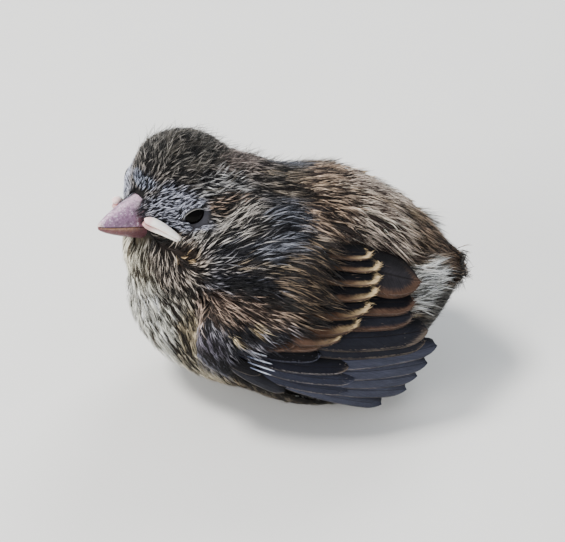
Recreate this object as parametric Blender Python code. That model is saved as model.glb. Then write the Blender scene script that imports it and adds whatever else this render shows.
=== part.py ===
"""A fledgling dark-eyed junco, life size, sitting fluffed on its belly with its head turned to its left.

Metres, +Z up. The bird faces -Y and its left side is +X. The origin is the middle of the flat on its belly, on the
floor. The solids follow the outer surface of the plumage. Lengths below are in millimetres until place() turns them
into metres.
"""

import math

import bmesh
import bpy
from mathutils import Matrix, Vector

MM = 0.001
GAP = 0.3  # clearance between neighbouring solids

# Trunk: an egg lying on its side along Y.
BREAST_Y, GIRTH_Y, RUMP_Y = -26.0, 3.0, 27.5
TRUNK_HALF_WIDTH, TRUNK_HALF_HEIGHT = 17.5, 18.7
TRUNK_MID_Z, BREAST_SAG, RUMP_LIFT = 18.0, 1.8, 1.2
REAR_FULLNESS, REAR_TAPER = 2.0, 0.82
BELLY_CENTRE, BELLY_HALF = (0.0, 4.0, 7.4), (15.6, 17.0, 9.4)  # the soft belly, spread on the floor

# Head: turned to the bird's left and tipped up a little.
HEAD_CENTRE = (0.3, -17.0, 36.6)
HEAD_TURN, HEAD_TIP_UP = math.radians(45.0), math.radians(15.0)
HEAD_HALF = (9.0, 8.4, 8.8)  # fore and aft, across, up
BILL_TIP_AHEAD, BILL_TIP_DROP = 16.0, 4.2  # of the bill's tip, from the head's centre

# Bill, measured back from its tip.
BILL_LENGTH, BILL_HALF_WIDTH, CULMEN_RISE = 9.6, 3.35, 4.5
GAPE_SLOPE, LOWER_BILL_DEPTH = 0.03, 3.3
CULMEN_CURVE, CHIN_CURVE = 0.72, 0.62  # powers of the share of the length: lower ones bulge near the tip

# The turned neck pushes the left cheek out, so the right eye and lip stand closer in, by this share.
CHEEK_FULLNESS = {1: 1.0, -1: 0.92}

# Eye, measured from the bill's tip: back, out to the side, up.
EYE_PLACE, EYE_RADIUS = (13.2, 6.2, 2.7), 2.5

# Flesh lip at each corner of the mouth.
LIP_START, LIP_MIDDLE, LIP_END = (6.2, 3.3, 1.1), (8.6, 5.5, 0.1), (11.3, 8.0, -1.9)
LIP_HALF_HEIGHT, LIP_HALF_WIDTH = 1.15, 0.85

# Wing sheet of the left wing: three cubic curves from the front of the wing to its tips. Points are x, y, z.
WING_LOWER = ((13.6, -14.0, 13.0), (18.2, -5.0, 8.2), (17.0, 8.0, 3.6), (11.6, 17.0, 1.7))
WING_MIDDLE = ((21.0, -16.0, 21.0), (26.0, -4.0, 19.5), (25.5, 10.0, 19.0), (16.2, 26.5, 18.8))
WING_UPPER = ((8.5, -10.0, 31.5), (9.5, -2.0, 34.8), (9.5, 9.0, 34.8), (7.2, 17.5, 28.4))
ARM_HALF_THICKNESS, COVERT_EDGE = 1.2, 0.56  # the coverts end at this share of the sheet's length
BLADE_HALF_THICKNESS = 0.42
PRIMARIES, SECONDARIES, TERTIALS = 7, 5, 3
PRIMARY_TOP = 0.46  # share of the sheet's height below which the blades are primaries
PRIMARY_TIPS = ((0.93, 0.03), (1.0, 0.44))
SECONDARY_TIPS = ((0.99, 0.47), (0.88, 0.93))
TIP_NOTCH = 0.035

# Tail: a stub, its blades just past the rump.
RECTRICES, TAIL_ROOT, TAIL_LENGTH, TAIL_SPREAD = 8, (0.0, 18.5, 22.2), 8.6, math.radians(30.0)

# Legs, folded flat under the belly, and toes.
HEEL, ANKLE = (7.6, 15.0), (4.0, 0.8)
SHANK_RADIUS, TOE_RADIUS = 1.0, 0.72
TOES = ((-17.0, 5.8), (-4.0, 6.4), (9.0, 5.8), (172.0, 3.6))  # angle outwards from straight ahead, and length
CLAW_LENGTH, CLAW_RADIUS = 2.6, 0.46
FOOT_HOLLOW = (  # x, y, half width and half height of the hollow in the belly, heel to claws
    (8.2, 17.2, 1.4, 1.8),
    (7.6, 15.0, 2.4, 3.3),
    (5.8, 8.0, 2.4, 2.4),
    (4.2, 0.5, 2.5, 2.4),
    (3.6, -5.5, 2.8, 2.1),
    (3.5, -8.6, 2.7, 1.9),
    (3.4, -9.7, 2.0, 1.4),
)

COLOURS = {
    "plumage": ((0.20, 0.16, 0.13), 0.85),
    "head_plumage": ((0.13, 0.12, 0.12), 0.85),
    "flight_feather": ((0.09, 0.09, 0.10), 0.6),
    "bill": ((0.52, 0.36, 0.38), 0.4),
    "gape": ((0.88, 0.80, 0.72), 0.45),
    "eye": ((0.01, 0.01, 0.01), 0.05),
    "leg": ((0.50, 0.36, 0.33), 0.55),
    "claw": ((0.14, 0.12, 0.11), 0.4),
}


def clear_scene():
    for obj in list(bpy.data.objects):
        bpy.data.objects.remove(obj)


def material(name):
    colour, roughness = COLOURS[name]
    made = bpy.data.materials.get(name) or bpy.data.materials.new(name)
    made.use_nodes = True
    surface = made.node_tree.nodes["Principled BSDF"]
    surface.inputs["Base Color"].default_value = (*colour, 1.0)
    surface.inputs["Roughness"].default_value = roughness
    surface.inputs["Metallic"].default_value = 0.0
    return made


def place(name, bm, finish):
    """Links a mesh drawn in millimetres as an object in metres, with its origin at the middle of its own box."""
    bmesh.ops.scale(bm, vec=(MM, MM, MM), verts=bm.verts)
    lowest = [min(v.co[i] for v in bm.verts) for i in range(3)]
    highest = [max(v.co[i] for v in bm.verts) for i in range(3)]
    middle = (Vector(lowest) + Vector(highest)) / 2
    bmesh.ops.translate(bm, vec=-middle, verts=bm.verts)
    mesh = bpy.data.meshes.new(name)
    bm.to_mesh(mesh)
    bm.free()
    mesh.shade_smooth()
    mesh.materials.append(material(finish))
    obj = bpy.data.objects.new(name, mesh)
    obj.location = middle
    bpy.context.scene.collection.objects.link(obj)
    return obj


def tool(name, bm):
    """A cutter or a helper, left out of the model itself."""
    obj = place(name, bm, "plumage")
    obj.hide_render = True
    obj.display_type = "WIRE"
    return obj


def combine(target, other, operation):
    step = target.modifiers.new(f"{operation.lower()}_{other.name}", "BOOLEAN")
    step.operation = operation
    step.solver = "MANIFOLD"
    step.object = other


def baked(obj):
    """The object's shape with its modifiers applied, as a new bmesh in millimetres."""
    bpy.context.view_layer.update()
    mesh = bpy.data.meshes.new_from_object(obj.evaluated_get(bpy.context.evaluated_depsgraph_get()))
    bm = bmesh.new()
    bm.from_mesh(mesh)
    bmesh.ops.transform(bm, matrix=Matrix.Scale(1 / MM, 4) @ obj.matrix_world, verts=bm.verts)
    return bm


def grown(name, obj, by=GAP):
    """A cutter the shape of obj, larger by the clearance all round."""
    bm = baked(obj)
    bm.normal_update()
    for vert, normal in [(v, v.normal.copy()) for v in bm.verts]:
        vert.co += normal * by
    return tool(name, bm)


def bridged(rings):
    """A closed solid through rings of points, with its two ends capped."""
    bm = bmesh.new()
    loops = [[bm.verts.new(point) for point in ring] for ring in rings]
    for near, far in zip(loops, loops[1:]):
        for i in range(len(near)):
            j = (i + 1) % len(near)
            bm.faces.new((near[i], near[j], far[j], far[i]))
    bm.faces.new(loops[0][::-1])
    bm.faces.new(loops[-1])
    bmesh.ops.recalc_face_normals(bm, faces=bm.faces)
    return bm


def ellipsoid(centre, half, turn=None, around=28, rows=16):
    bm = bmesh.new()
    bmesh.ops.create_uvsphere(bm, u_segments=around, v_segments=rows, radius=1.0)
    frame = turn or Matrix.Identity(3)
    stretch = frame @ Matrix.Diagonal(half)
    bmesh.ops.transform(bm, matrix=Matrix.Translation(centre) @ stretch.to_4x4(), verts=bm.verts)
    return bm


def tube(points, widths, heights, up, sides=8):
    """A solid swept along points, elliptical in section, with its height along up."""
    rings = []
    for i, point in enumerate(points):
        before, after = points[max(i - 1, 0)], points[min(i + 1, len(points) - 1)]
        along = (after - before).normalized()
        across = along.cross(up).normalized()
        rise = across.cross(along)
        turns = [2 * math.pi * k / sides for k in range(sides)]
        rings.append([point + across * widths[i] * math.cos(t) + rise * heights[i] * math.sin(t) for t in turns])
    return bridged(rings)


def bezier(points, t):
    """A point on the Bezier curve with these control points, by de Casteljau's halving."""
    row = [Vector(p) for p in points]
    while len(row) > 1:
        row = [a.lerp(b, t) for a, b in zip(row, row[1:])]
    return row[0]


# ---------------------------------------------------------------- head, neck and trunk


def head_axes():
    """Columns: forward, left and up of the head."""
    level = Vector((math.sin(HEAD_TURN), -math.cos(HEAD_TURN), 0.0))
    forward = level * math.cos(HEAD_TIP_UP) + Vector((0, 0, math.sin(HEAD_TIP_UP)))
    left = Vector((math.cos(HEAD_TURN), math.sin(HEAD_TURN), 0.0))
    return forward, left, forward.cross(left)


def bill_tip():
    forward, _, up = head_axes()
    return Vector(HEAD_CENTRE) + forward * BILL_TIP_AHEAD - up * BILL_TIP_DROP


def on_head(back, left, up):
    """The point this far back from the bill's tip, to the bird's left and up."""
    ahead, side, rise = head_axes()
    return bill_tip() - ahead * back + side * left + rise * up


def girth(y):
    """Share of the trunk's full girth at y: round in front, tapering to the rump."""
    if y < GIRTH_Y:
        return math.sqrt(max(0.0, 1 - ((GIRTH_Y - y) / (GIRTH_Y - BREAST_Y)) ** 2))
    return max(0.0, 1 - ((y - GIRTH_Y) / (RUMP_Y - GIRTH_Y)) ** REAR_FULLNESS) ** REAR_TAPER


def trunk_mid(y):
    """Height of the trunk's axis at y: it sags at the breast and lifts at the rump."""
    if y < GIRTH_Y:
        return TRUNK_MID_Z - BREAST_SAG * ((GIRTH_Y - y) / (GIRTH_Y - BREAST_Y)) ** 1.5
    return TRUNK_MID_Z + RUMP_LIFT * ((y - GIRTH_Y) / (RUMP_Y - GIRTH_Y)) ** 1.5


def trunk_shape(rows=26, around=32):
    rings = []
    for row in range(rows + 1):
        # Rows crowd towards both ends, where the egg closes fastest.
        y = (BREAST_Y + RUMP_Y) / 2 - (RUMP_Y - BREAST_Y) / 2 * math.cos(math.pi * (row + 0.35) / (rows + 0.7))
        size = girth(y)
        ring = []
        for k in range(around):
            turn = 2 * math.pi * k / around
            x = TRUNK_HALF_WIDTH * size * math.cos(turn)
            z = trunk_mid(y) + TRUNK_HALF_HEIGHT * size * math.sin(turn)
            ring.append((x, y, z))
        rings.append(ring)
    return bridged(rings)


def join_shapes(shapes):
    """Several closed shapes in one mesh, ready for a remesh to make them one."""
    joined = bmesh.new()
    for shape in shapes:
        part = bpy.data.meshes.new("part")
        shape.to_mesh(part)
        shape.free()
        joined.from_mesh(part)
    return joined


def flesh_shape():
    """Trunk, throat, nape and head melted into one form."""
    forward, left, up = head_axes()
    head_turn = Matrix((forward, left, up)).transposed()
    shapes = [
        trunk_shape(),
        ellipsoid(HEAD_CENTRE, HEAD_HALF, head_turn),
        ellipsoid(on_head(10.8, 0.0, 1.5), (4.4, 4.4, 4.1), head_turn),  # brow and chin behind the bill
        ellipsoid(on_head(12.4, 0.0, -0.4), (4.6, 7.3, 4.4), head_turn),  # cheeks
        ellipsoid((3.0, -14.2, 27.0), (11.2, 12.0, 9.5)),  # throat
        ellipsoid((0.5, -8.5, 30.5), (11.0, 10.0, 9.5)),  # nape and shoulders
        ellipsoid(BELLY_CENTRE, BELLY_HALF),
    ]
    obj = tool("flesh_whole", join_shapes(shapes))
    melt = obj.modifiers.new("melt", "REMESH")
    melt.mode = "VOXEL"
    melt.voxel_size = 2.6 * MM
    soften = obj.modifiers.new("soften", "SMOOTH")
    soften.factor = 0.5
    soften.iterations = 5
    return obj


def slab(name, centre, normal, half_deep, half_wide=40.0):
    """A box whose thin way is along normal."""
    bm = bmesh.new()
    bmesh.ops.create_cube(bm, size=2.0)
    turn = Vector(normal).to_track_quat("Z", "Y").to_matrix()
    size = turn @ Matrix.Diagonal((half_wide, half_wide, half_deep))
    bmesh.ops.transform(bm, matrix=Matrix.Translation(centre) @ size.to_4x4(), verts=bm.verts)
    return tool(name, bm)


def part_by_slabs(flesh):
    """Head, neck and trunk: the whole form kept on each side of two thin cuts."""
    head_cut, head_side = Vector((0.3, -17.0, 31.4)), Vector((0.20, -0.37, 0.91)).normalized()
    neck_cut, neck_side = Vector((0.5, -13.0, 26.2)), Vector((0.08, -0.42, 0.90)).normalized()
    reach = 60.0
    above = slab("above_head_cut", head_cut + head_side * (reach + GAP / 2), head_side, reach, reach)
    below = slab("below_neck_cut", neck_cut - neck_side * (reach + GAP / 2), neck_side, reach, reach)
    beneath = slab("beneath_head_cut", head_cut - head_side * (reach + GAP / 2), head_side, reach, reach)
    over = slab("over_neck_cut", neck_cut + neck_side * (reach + GAP / 2), neck_side, reach, reach)
    kept = {"head": (above,), "neck": (beneath, over), "trunk": (below,)}
    parts = {}
    for name, tools in kept.items():
        part = place(name, baked(flesh), "head_plumage" if name == "head" else "plumage")
        for cutter in tools:
            combine(part, cutter, "INTERSECT")
        parts[name] = part
    return parts


# ---------------------------------------------------------------- bill, eyes and lips


def tomium(back):
    """Height of the bill's closing line."""
    return -GAPE_SLOPE * back


def bill_width(back):
    return BILL_HALF_WIDTH * (back / BILL_LENGTH) ** 0.72


def upper_bill(stations=8, around=9):
    rings = []
    for i in range(stations):
        back = BILL_LENGTH * (0.012 + 0.988 * i / (stations - 1))
        edge, rise = tomium(back) + GAP / 2, CULMEN_RISE * (back / BILL_LENGTH) ** CULMEN_CURVE
        depth = max(rise - tomium(back) - GAP / 2, 0.12)
        ring = []
        for k in range(around + 1):
            turn = math.pi * k / around
            ring.append(on_head(back, bill_width(back) * math.cos(turn), edge + depth * math.sin(turn) ** 0.9))
        rings.append(ring)
    return bridged(rings)


def lower_bill(stations=8, around=8):
    rings = []
    for i in range(stations):
        back = BILL_LENGTH * (0.05 + 0.95 * i / (stations - 1))
        edge, depth = tomium(back) - GAP / 2, LOWER_BILL_DEPTH * (back / BILL_LENGTH) ** CHIN_CURVE
        ring = []
        for k in range(around + 1):
            turn = math.pi * k / around
            ring.append(on_head(back, 0.9 * bill_width(back) * math.cos(turn), edge - depth * math.sin(turn)))
        rings.append(ring)
    return bridged(rings)


def lip(side, stations=9):
    """Swollen crescent of flesh along the corner of the mouth."""
    path = [Vector(p) for p in (LIP_START, LIP_MIDDLE, LIP_END)]
    points, widths, heights = [], [], []
    for i in range(stations):
        t = i / (stations - 1)
        back, out, up = bezier((path[0], path[1] * 2 - (path[0] + path[2]) / 2, path[2]), t)
        swell = 0.22 + 0.78 * math.sin(math.pi * (0.06 + 0.88 * t)) ** 0.8
        points.append(on_head(back, out * side * CHEEK_FULLNESS[side], up))
        widths.append(LIP_HALF_WIDTH * swell)
        heights.append(LIP_HALF_HEIGHT * swell)
    return tube(points, widths, heights, head_axes()[2])


def face(parts):
    made = [place("bill_upper", upper_bill(), "bill"), place("bill_lower", lower_bill(), "bill")]
    cutters = [grown(f"room_for_{obj.name}", obj) for obj in made]
    for side, label in ((1, "left"), (-1, "right")):
        corner = place(f"gape_{label}", lip(side), "gape")
        for cutter in cutters[:2]:
            combine(corner, cutter, "DIFFERENCE")
        back, out, up = EYE_PLACE
        ball = ellipsoid(on_head(back, out * side * CHEEK_FULLNESS[side], up), (EYE_RADIUS,) * 3, around=12, rows=8)
        eye = place(f"eye_{label}", ball, "eye")
        cutters.append(grown(f"room_for_{eye.name}", eye))
        cutters.append(tool(f"room_for_{corner.name}", lip_room(side)))
    for name in ("head", "neck"):
        for cutter in cutters:
            combine(parts[name], cutter, "DIFFERENCE")


def lip_room(side):
    """The lip's own shape, larger by the clearance."""
    bm = lip(side)
    bm.normal_update()
    for vert, normal in [(v, v.normal.copy()) for v in bm.verts]:
        vert.co += normal * GAP
    return bm


# ---------------------------------------------------------------- wings


def on_wing(side, along, high, out=0.0):
    """The wing sheet's point at these shares of its length and height, this far outside it."""

    def spot(s, t):
        rows = [bezier(curve, s) for curve in (WING_LOWER, WING_MIDDLE, WING_UPPER)]
        return bezier(rows, t)

    step = 0.01
    point = spot(along, high)
    along_way = spot(along + step, high) - spot(along - step, high)
    up_way = spot(along, high + step) - spot(along, high - step)
    point = point + along_way.cross(up_way).normalized() * out
    return Vector((point.x * side, point.y, point.z))


def shell(outer, inner):
    """A closed solid between two grids of points of the same size, joined round their rims."""
    bm = bmesh.new()
    top = [[bm.verts.new(point) for point in row] for row in outer]
    low = [[bm.verts.new(point) for point in row] for row in inner]
    rows, columns = len(top), len(top[0])
    for i in range(rows - 1):
        for j in range(columns - 1):
            bm.faces.new((top[i][j], top[i][j + 1], top[i + 1][j + 1], top[i + 1][j]))
            bm.faces.new((low[i][j], low[i + 1][j], low[i + 1][j + 1], low[i][j + 1]))
    rim = [(0, j) for j in range(columns)] + [(i, columns - 1) for i in range(1, rows)]
    rim += [(rows - 1, j) for j in range(columns - 2, -1, -1)] + [(i, 0) for i in range(rows - 2, 0, -1)]
    for (i, j), (k, m) in zip(rim, rim[1:] + rim[:1]):
        bm.faces.new((top[i][j], low[i][j], low[k][m], top[k][m]))
    bmesh.ops.recalc_face_normals(bm, faces=bm.faces)
    return bm


def spread(low, high, count):
    return [low + (high - low) * i / (count - 1) for i in range(count)]


def arm_shape(side):
    """The feathered arm: a cushion over the sheet, thin at its edges, as far back as the coverts reach."""
    outer, inner = [], []
    for along in spread(0.01, COVERT_EDGE - 0.006, 9):
        lift = 0.45 + 0.55 * math.sin(math.pi * min(0.75, 0.08 + 1.5 * along)) ** 0.6
        thick = [
            ARM_HALF_THICKNESS * lift * (0.4 + 0.6 * math.sin(math.pi * share) ** 0.5)
            for share in spread(0.0, 1.0, 9)
        ]
        heights = spread(0.03, 0.98, 9)
        outer.append([on_wing(side, along, high, t) for high, t in zip(heights, thick)])
        inner.append([on_wing(side, along, high, -t) for high, t in zip(heights, thick)])
    return shell(outer, inner)


def fan_shape(side, blades, low, high, tip_low, tip_high, rows=5):
    """Flight feathers in one piece: a ridge for each blade and a rounded tip to each.

    low and high are the fan's edges as shares of the sheet's height at the coverts; tip_low and tip_high are
    (along, height) of its lowest and highest tips.
    """
    per_blade = 3
    count = blades * per_blade + 1
    outer, inner = [], []
    for row in range(rows):
        t = row / (rows - 1)
        top, under = [], []
        for column in range(count):
            share = column / (count - 1)
            across = (column % per_blade) / per_blade if column < count - 1 else 1.0
            notch = TIP_NOTCH * (2 * across - 1) ** 2 if 0 < column < count - 1 else TIP_NOTCH
            tip_along = tip_low[0] + (tip_high[0] - tip_low[0]) * share - notch
            along = COVERT_EDGE + 0.006 + (tip_along - COVERT_EDGE - 0.006) * t
            root_height = low + (high - low) * share
            height = root_height + (tip_low[1] + (tip_high[1] - tip_low[1]) * share - root_height) * t
            thick = BLADE_HALF_THICKNESS * (0.72 + 0.28 * math.sin(math.pi * across))
            top.append(on_wing(side, along, height, thick))
            under.append(on_wing(side, along, height, -BLADE_HALF_THICKNESS * 0.72))
        outer.append(top)
        inner.append(under)
    return shell(outer, inner)


def wing_room(side):
    """The space the whole wing takes from the body beneath it."""
    depth = ARM_HALF_THICKNESS + GAP
    alongs, heights = spread(-0.03, 1.02, 9), spread(-0.02, 1.02, 7)
    outer = [[on_wing(side, a, h, depth) for h in heights] for a in alongs]
    inner = [[on_wing(side, a, h, -depth) for h in heights] for a in alongs]
    return tool(f"wing_room_{'left' if side > 0 else 'right'}", shell(outer, inner))


def wings():
    made = []
    slit = 0.006
    for side, label in ((1, "left"), (-1, "right")):
        made.append(place(f"wing_{label}", arm_shape(side), "plumage"))
        primaries = fan_shape(side, PRIMARIES, 0.03, PRIMARY_TOP - slit, *PRIMARY_TIPS)
        inner = fan_shape(side, SECONDARIES + TERTIALS, PRIMARY_TOP + slit, 0.96, *SECONDARY_TIPS)
        made.append(place(f"primaries_{label}", primaries, "flight_feather"))
        made.append(place(f"secondaries_{label}", inner, "flight_feather"))
    return made


# ---------------------------------------------------------------- tail, legs and toes


def tail_shape():
    """A short fan: each feather's blade overlaps the next, and all are one piece."""
    root = Vector(TAIL_ROOT)
    outer, inner, columns = [], [], RECTRICES * 2
    for row in range(6):
        out = TAIL_LENGTH * row / 5
        ring_top, ring_low = [], []
        for column in range(columns + 1):
            turn = TAIL_SPREAD * (column / columns - 0.5)
            scallop = 0.8 * abs(math.sin(math.pi * column / 2)) * (row / 5) ** 3
            reach = 3.5 + out - scallop
            x, y = root.x + math.sin(turn) * reach * 1.35, root.y + math.cos(turn) * reach - 3.5
            z = root.z - 0.1 * out - 6.0 * turn * turn
            ring_top.append((x, y, z + 0.7))
            ring_low.append((x, y, z - 0.7))
        outer.append(ring_top)
        inner.append(ring_low)
    return shell(outer, inner)


def leg_shapes(side):
    """Shank lying along the floor from heel to ankle, with its toes."""
    heel, ankle = Vector((*HEEL, SHANK_RADIUS)), Vector((*ANKLE, SHANK_RADIUS))
    shapes = [limb([heel, heel.lerp(ankle, 0.5), ankle], [1.5, 1.0, 1.15], side, SHANK_RADIUS)]
    for angle, length in TOES:
        way = toe_way(angle)
        points = [ankle + way * length * t for t in (-0.05, 0.35, 0.7, 1.0)]
        shapes.append(limb(points, [1.15, 1.0, 1.05, 0.8], side, TOE_RADIUS))
    return shapes


def toe_way(angle):
    """Level direction at this angle out from straight ahead, for the left foot."""
    return Vector((math.sin(math.radians(angle)), -math.cos(math.radians(angle)), 0.0))


def limb(points, swell, side, radius):
    """A round limb whose underside lies at the floor."""
    placed = [Vector((p.x * side, p.y, radius * s * 0.93)) for p, s in zip(points, swell)]
    sizes = [radius * s for s in swell]
    return tube(placed, sizes, sizes, Vector((0, 0, 1)), sides=8)


def claw_shape(side, angle, length):
    """A curved cone from the end of a toe down to the floor."""
    way, ankle = toe_way(angle), Vector((*ANKLE, 0.0))
    points, sizes = [], []
    for i in range(5):
        t = i / 4
        reach = ankle + way * (length + 0.75 + CLAW_LENGTH * math.sin(1.45 * t) / 1.1)
        points.append(Vector((reach.x * side, reach.y, 0.52 + 0.42 * math.sin(math.pi * t) - 0.30 * t)))
        sizes.append(CLAW_RADIUS * (1 - 0.72 * t))
    return tube(points, sizes, sizes, Vector((0, 0, 1)), sides=6)


def cut_floor(obj, floor):
    combine(obj, floor, "DIFFERENCE")


def foot_room(side):
    """The hollow that the folded leg takes in the belly."""
    points = [Vector((x * side, y, 0.6)) for x, y, _, _ in FOOT_HOLLOW]
    widths, heights = [w for _, _, w, _ in FOOT_HOLLOW], [h for _, _, _, h in FOOT_HOLLOW]
    return tool(f"foot_room_{'left' if side > 0 else 'right'}", tube(points, widths, heights, Vector((0, 0, 1))))


def legs(floor):
    for side, label in ((1, "left"), (-1, "right")):
        leg = place(f"leg_{label}", join_shapes(leg_shapes(side)), "leg")
        melt = leg.modifiers.new("melt", "REMESH")
        melt.mode = "VOXEL"
        melt.voxel_size = 0.3 * MM
        thin = leg.modifiers.new("thin", "DECIMATE")
        thin.ratio = 0.05
        cut_floor(leg, floor)
        claws = [place(f"claw_{label}_{n}", claw_shape(side, *toe), "claw") for n, toe in enumerate(TOES, 1)]
        for claw in claws:
            combine(leg, grown(f"room_for_{claw.name}", claw), "DIFFERENCE")


def build():
    clear_scene()
    flesh = flesh_shape()
    parts = part_by_slabs(flesh)
    face(parts)
    floor = slab("floor", Vector((0, 0, -20.0)), Vector((0, 0, 1)), 20.0)
    for room in (wing_room(1), wing_room(-1)):
        combine(parts["trunk"], room, "DIFFERENCE")
        combine(parts["neck"], room, "DIFFERENCE")
    wings()
    legs(floor)
    tail = place("tail", tail_shape(), "flight_feather")
    for room in (grown("room_for_tail", tail), foot_room(1), foot_room(-1), floor):
        combine(parts["trunk"], room, "DIFFERENCE")


build()
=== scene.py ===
"""Looks of a fledgling dark-eyed junco, life size, sitting fluffed on its belly with its head turned to its left.

Lengths are in millimetres until add_mesh() turns them into metres. +Z is up, the bird faces -Y and its left side is
+X, as in the solids. Arrays hold points as (..., 3). A "lie" is the way the feathers run, and a lock is a small
bundle of barbs that keeps together.
"""

import math

import bmesh
import bpy
import numpy as np
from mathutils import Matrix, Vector
from mathutils.bvhtree import BVHTree


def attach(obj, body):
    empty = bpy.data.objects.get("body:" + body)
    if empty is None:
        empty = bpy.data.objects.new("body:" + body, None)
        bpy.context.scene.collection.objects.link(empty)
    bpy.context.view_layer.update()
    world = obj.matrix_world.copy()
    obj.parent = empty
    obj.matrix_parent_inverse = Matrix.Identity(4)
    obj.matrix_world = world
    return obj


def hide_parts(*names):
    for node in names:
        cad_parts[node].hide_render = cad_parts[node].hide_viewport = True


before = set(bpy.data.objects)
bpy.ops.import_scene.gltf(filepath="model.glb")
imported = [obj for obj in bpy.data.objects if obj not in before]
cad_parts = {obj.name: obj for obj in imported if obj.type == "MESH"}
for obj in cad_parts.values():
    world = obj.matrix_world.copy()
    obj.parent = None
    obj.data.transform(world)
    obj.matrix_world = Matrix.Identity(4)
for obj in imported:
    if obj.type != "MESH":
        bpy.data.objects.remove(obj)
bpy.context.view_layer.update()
MM = 0.001
BARB_FLOOR, VANE_FLOOR, SKIN_FLOOR = 0.02, 0.03, 0.05  # how near the ground each may come
rng = np.random.default_rng(7)
LEFT_AND_RIGHT = ((1, "left"), (-1, "right"))

# Head, as in the solids.
HEAD_CENTRE = np.array((0.3, -17.0, 36.6))
HEAD_TURN, HEAD_TIP_UP = math.radians(45.0), math.radians(15.0)
BILL_TIP_AHEAD, BILL_TIP_DROP = 16.0, 4.2
BILL_LENGTH, BILL_HALF_WIDTH, CULMEN_RISE = 9.6, 3.35, 4.5
GAPE_SLOPE, LOWER_BILL_DEPTH = 0.03, 3.3
CULMEN_CURVE, CHIN_CURVE = 0.72, 0.62
BILL_ROOT = 1.2  # the bill's horn runs on this far into the feathers
EYE_PLACE, EYE_RADIUS = (13.2, 6.2, 2.7), 2.4
CHEEK_FULLNESS = {1: 1.0, -1: 0.92}  # the turned neck pushes the left cheek out
EYE_TURN, EYE_SLANT, EYE_OPENING = math.radians(23), math.radians(36), (1.80, 1.36)
LIP_START, LIP_MIDDLE, LIP_END = (6.2, 3.3, 1.1), (8.7, 5.5, 0.1), (11.5, 8.0, -1.9)

# Wing sheet of the left wing: three cubic curves from the front of the wing to its tips.
WING_LOWER = ((13.6, -14.0, 13.0), (18.2, -5.0, 8.2), (17.0, 8.0, 3.6), (11.6, 17.0, 1.7))
WING_MIDDLE = ((21.0, -16.0, 21.0), (26.0, -4.0, 19.5), (25.5, 10.0, 19.0), (16.2, 26.5, 18.8))
WING_UPPER = ((8.5, -10.0, 31.5), (9.5, -2.0, 34.8), (9.5, 9.0, 34.8), (7.2, 17.5, 28.4))

# Tail stub.
RECTRICES, TAIL_ROOT, TAIL_LENGTH, TAIL_SPREAD = 8, (0.0, 18.5, 22.2), 8.6, math.radians(30.0)


# ---------------------------------------------------------------- sums on arrays


def unit(v):
    return v / np.maximum(np.linalg.norm(v, axis=-1, keepdims=True), 1e-9)


def dot(a, b):
    return np.sum(a * b, axis=-1)


def hump(x, middle, width):
    """A smooth bump, 1 at its middle."""
    return np.exp(-(((x - middle) / width) ** 2))


def ease(low, high, x):
    """0 below low, 1 above high, and the smooth step 3t^2 - 2t^3 between."""
    t = np.clip((x - low) / (high - low), 0.0, 1.0)
    return t * t * (3 - 2 * t)


def mixed(a, b, share):
    return a + (b - a) * share


def paint(red, green, blue):
    """A colour as the eye names it, 0 to 255, as the light it sends back."""
    c = np.array((red, green, blue)) / 255
    return np.where(c <= 0.04045, c / 12.92, ((c + 0.055) / 1.055) ** 2.4)


def layered(base, *layers):
    """The base with layers over it: each its vectors, and how much of it covers each point."""
    for vectors, share in layers:
        base = mixed(base, vectors, share[..., None])
    return base


def painted(tint, *layers):
    """The tints with layers over them: each a colour, and how much of it covers each point."""
    return layered(tint, *((paint(*colour), share) for colour, share in layers))


def ripple(points, scale, seed=0):
    """Smooth noise from -1 to 1: the sum of seven plane waves in fixed random directions, of about this wavelength."""
    waves = np.random.default_rng(100 + seed)
    ways = unit(waves.normal(size=(7, 3))) * waves.uniform(0.7, 1.5, (7, 1)) * (2 * math.pi / scale)
    return np.sin(points @ ways.T + waves.uniform(0, 6.28, 7)).sum(-1) / 3.4


FORWARD = np.array(
    (
        math.sin(HEAD_TURN) * math.cos(HEAD_TIP_UP),
        -math.cos(HEAD_TURN) * math.cos(HEAD_TIP_UP),
        math.sin(HEAD_TIP_UP),
    )
)
LEFT = np.array((math.cos(HEAD_TURN), math.sin(HEAD_TURN), 0.0))
UP = np.cross(FORWARD, LEFT)
BILL_TIP = HEAD_CENTRE + FORWARD * BILL_TIP_AHEAD - UP * BILL_TIP_DROP


def on_head(back, left, up):
    """The points this far back from the bill's tip, to the bird's left and up."""
    back, left, up = np.broadcast_arrays(back, left, up)
    return BILL_TIP - back[..., None] * FORWARD + left[..., None] * LEFT + up[..., None] * UP


def in_head(points):
    """The reverse of on_head: back, left and up of points."""
    q = points - BILL_TIP
    return np.stack((-(q @ FORWARD), q @ LEFT, q @ UP), axis=-1)


def from_skull(points):
    """Distances from the middle of the head."""
    return np.linalg.norm(points - HEAD_CENTRE, axis=1)


def ridge_height(back):
    return CULMEN_RISE * (back / BILL_LENGTH) ** CULMEN_CURVE


def chin_depth(back):
    return LOWER_BILL_DEPTH * (back / BILL_LENGTH) ** CHIN_CURVE


def bill_width(back):
    return BILL_HALF_WIDTH * (back / BILL_LENGTH) ** CULMEN_CURVE


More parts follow.
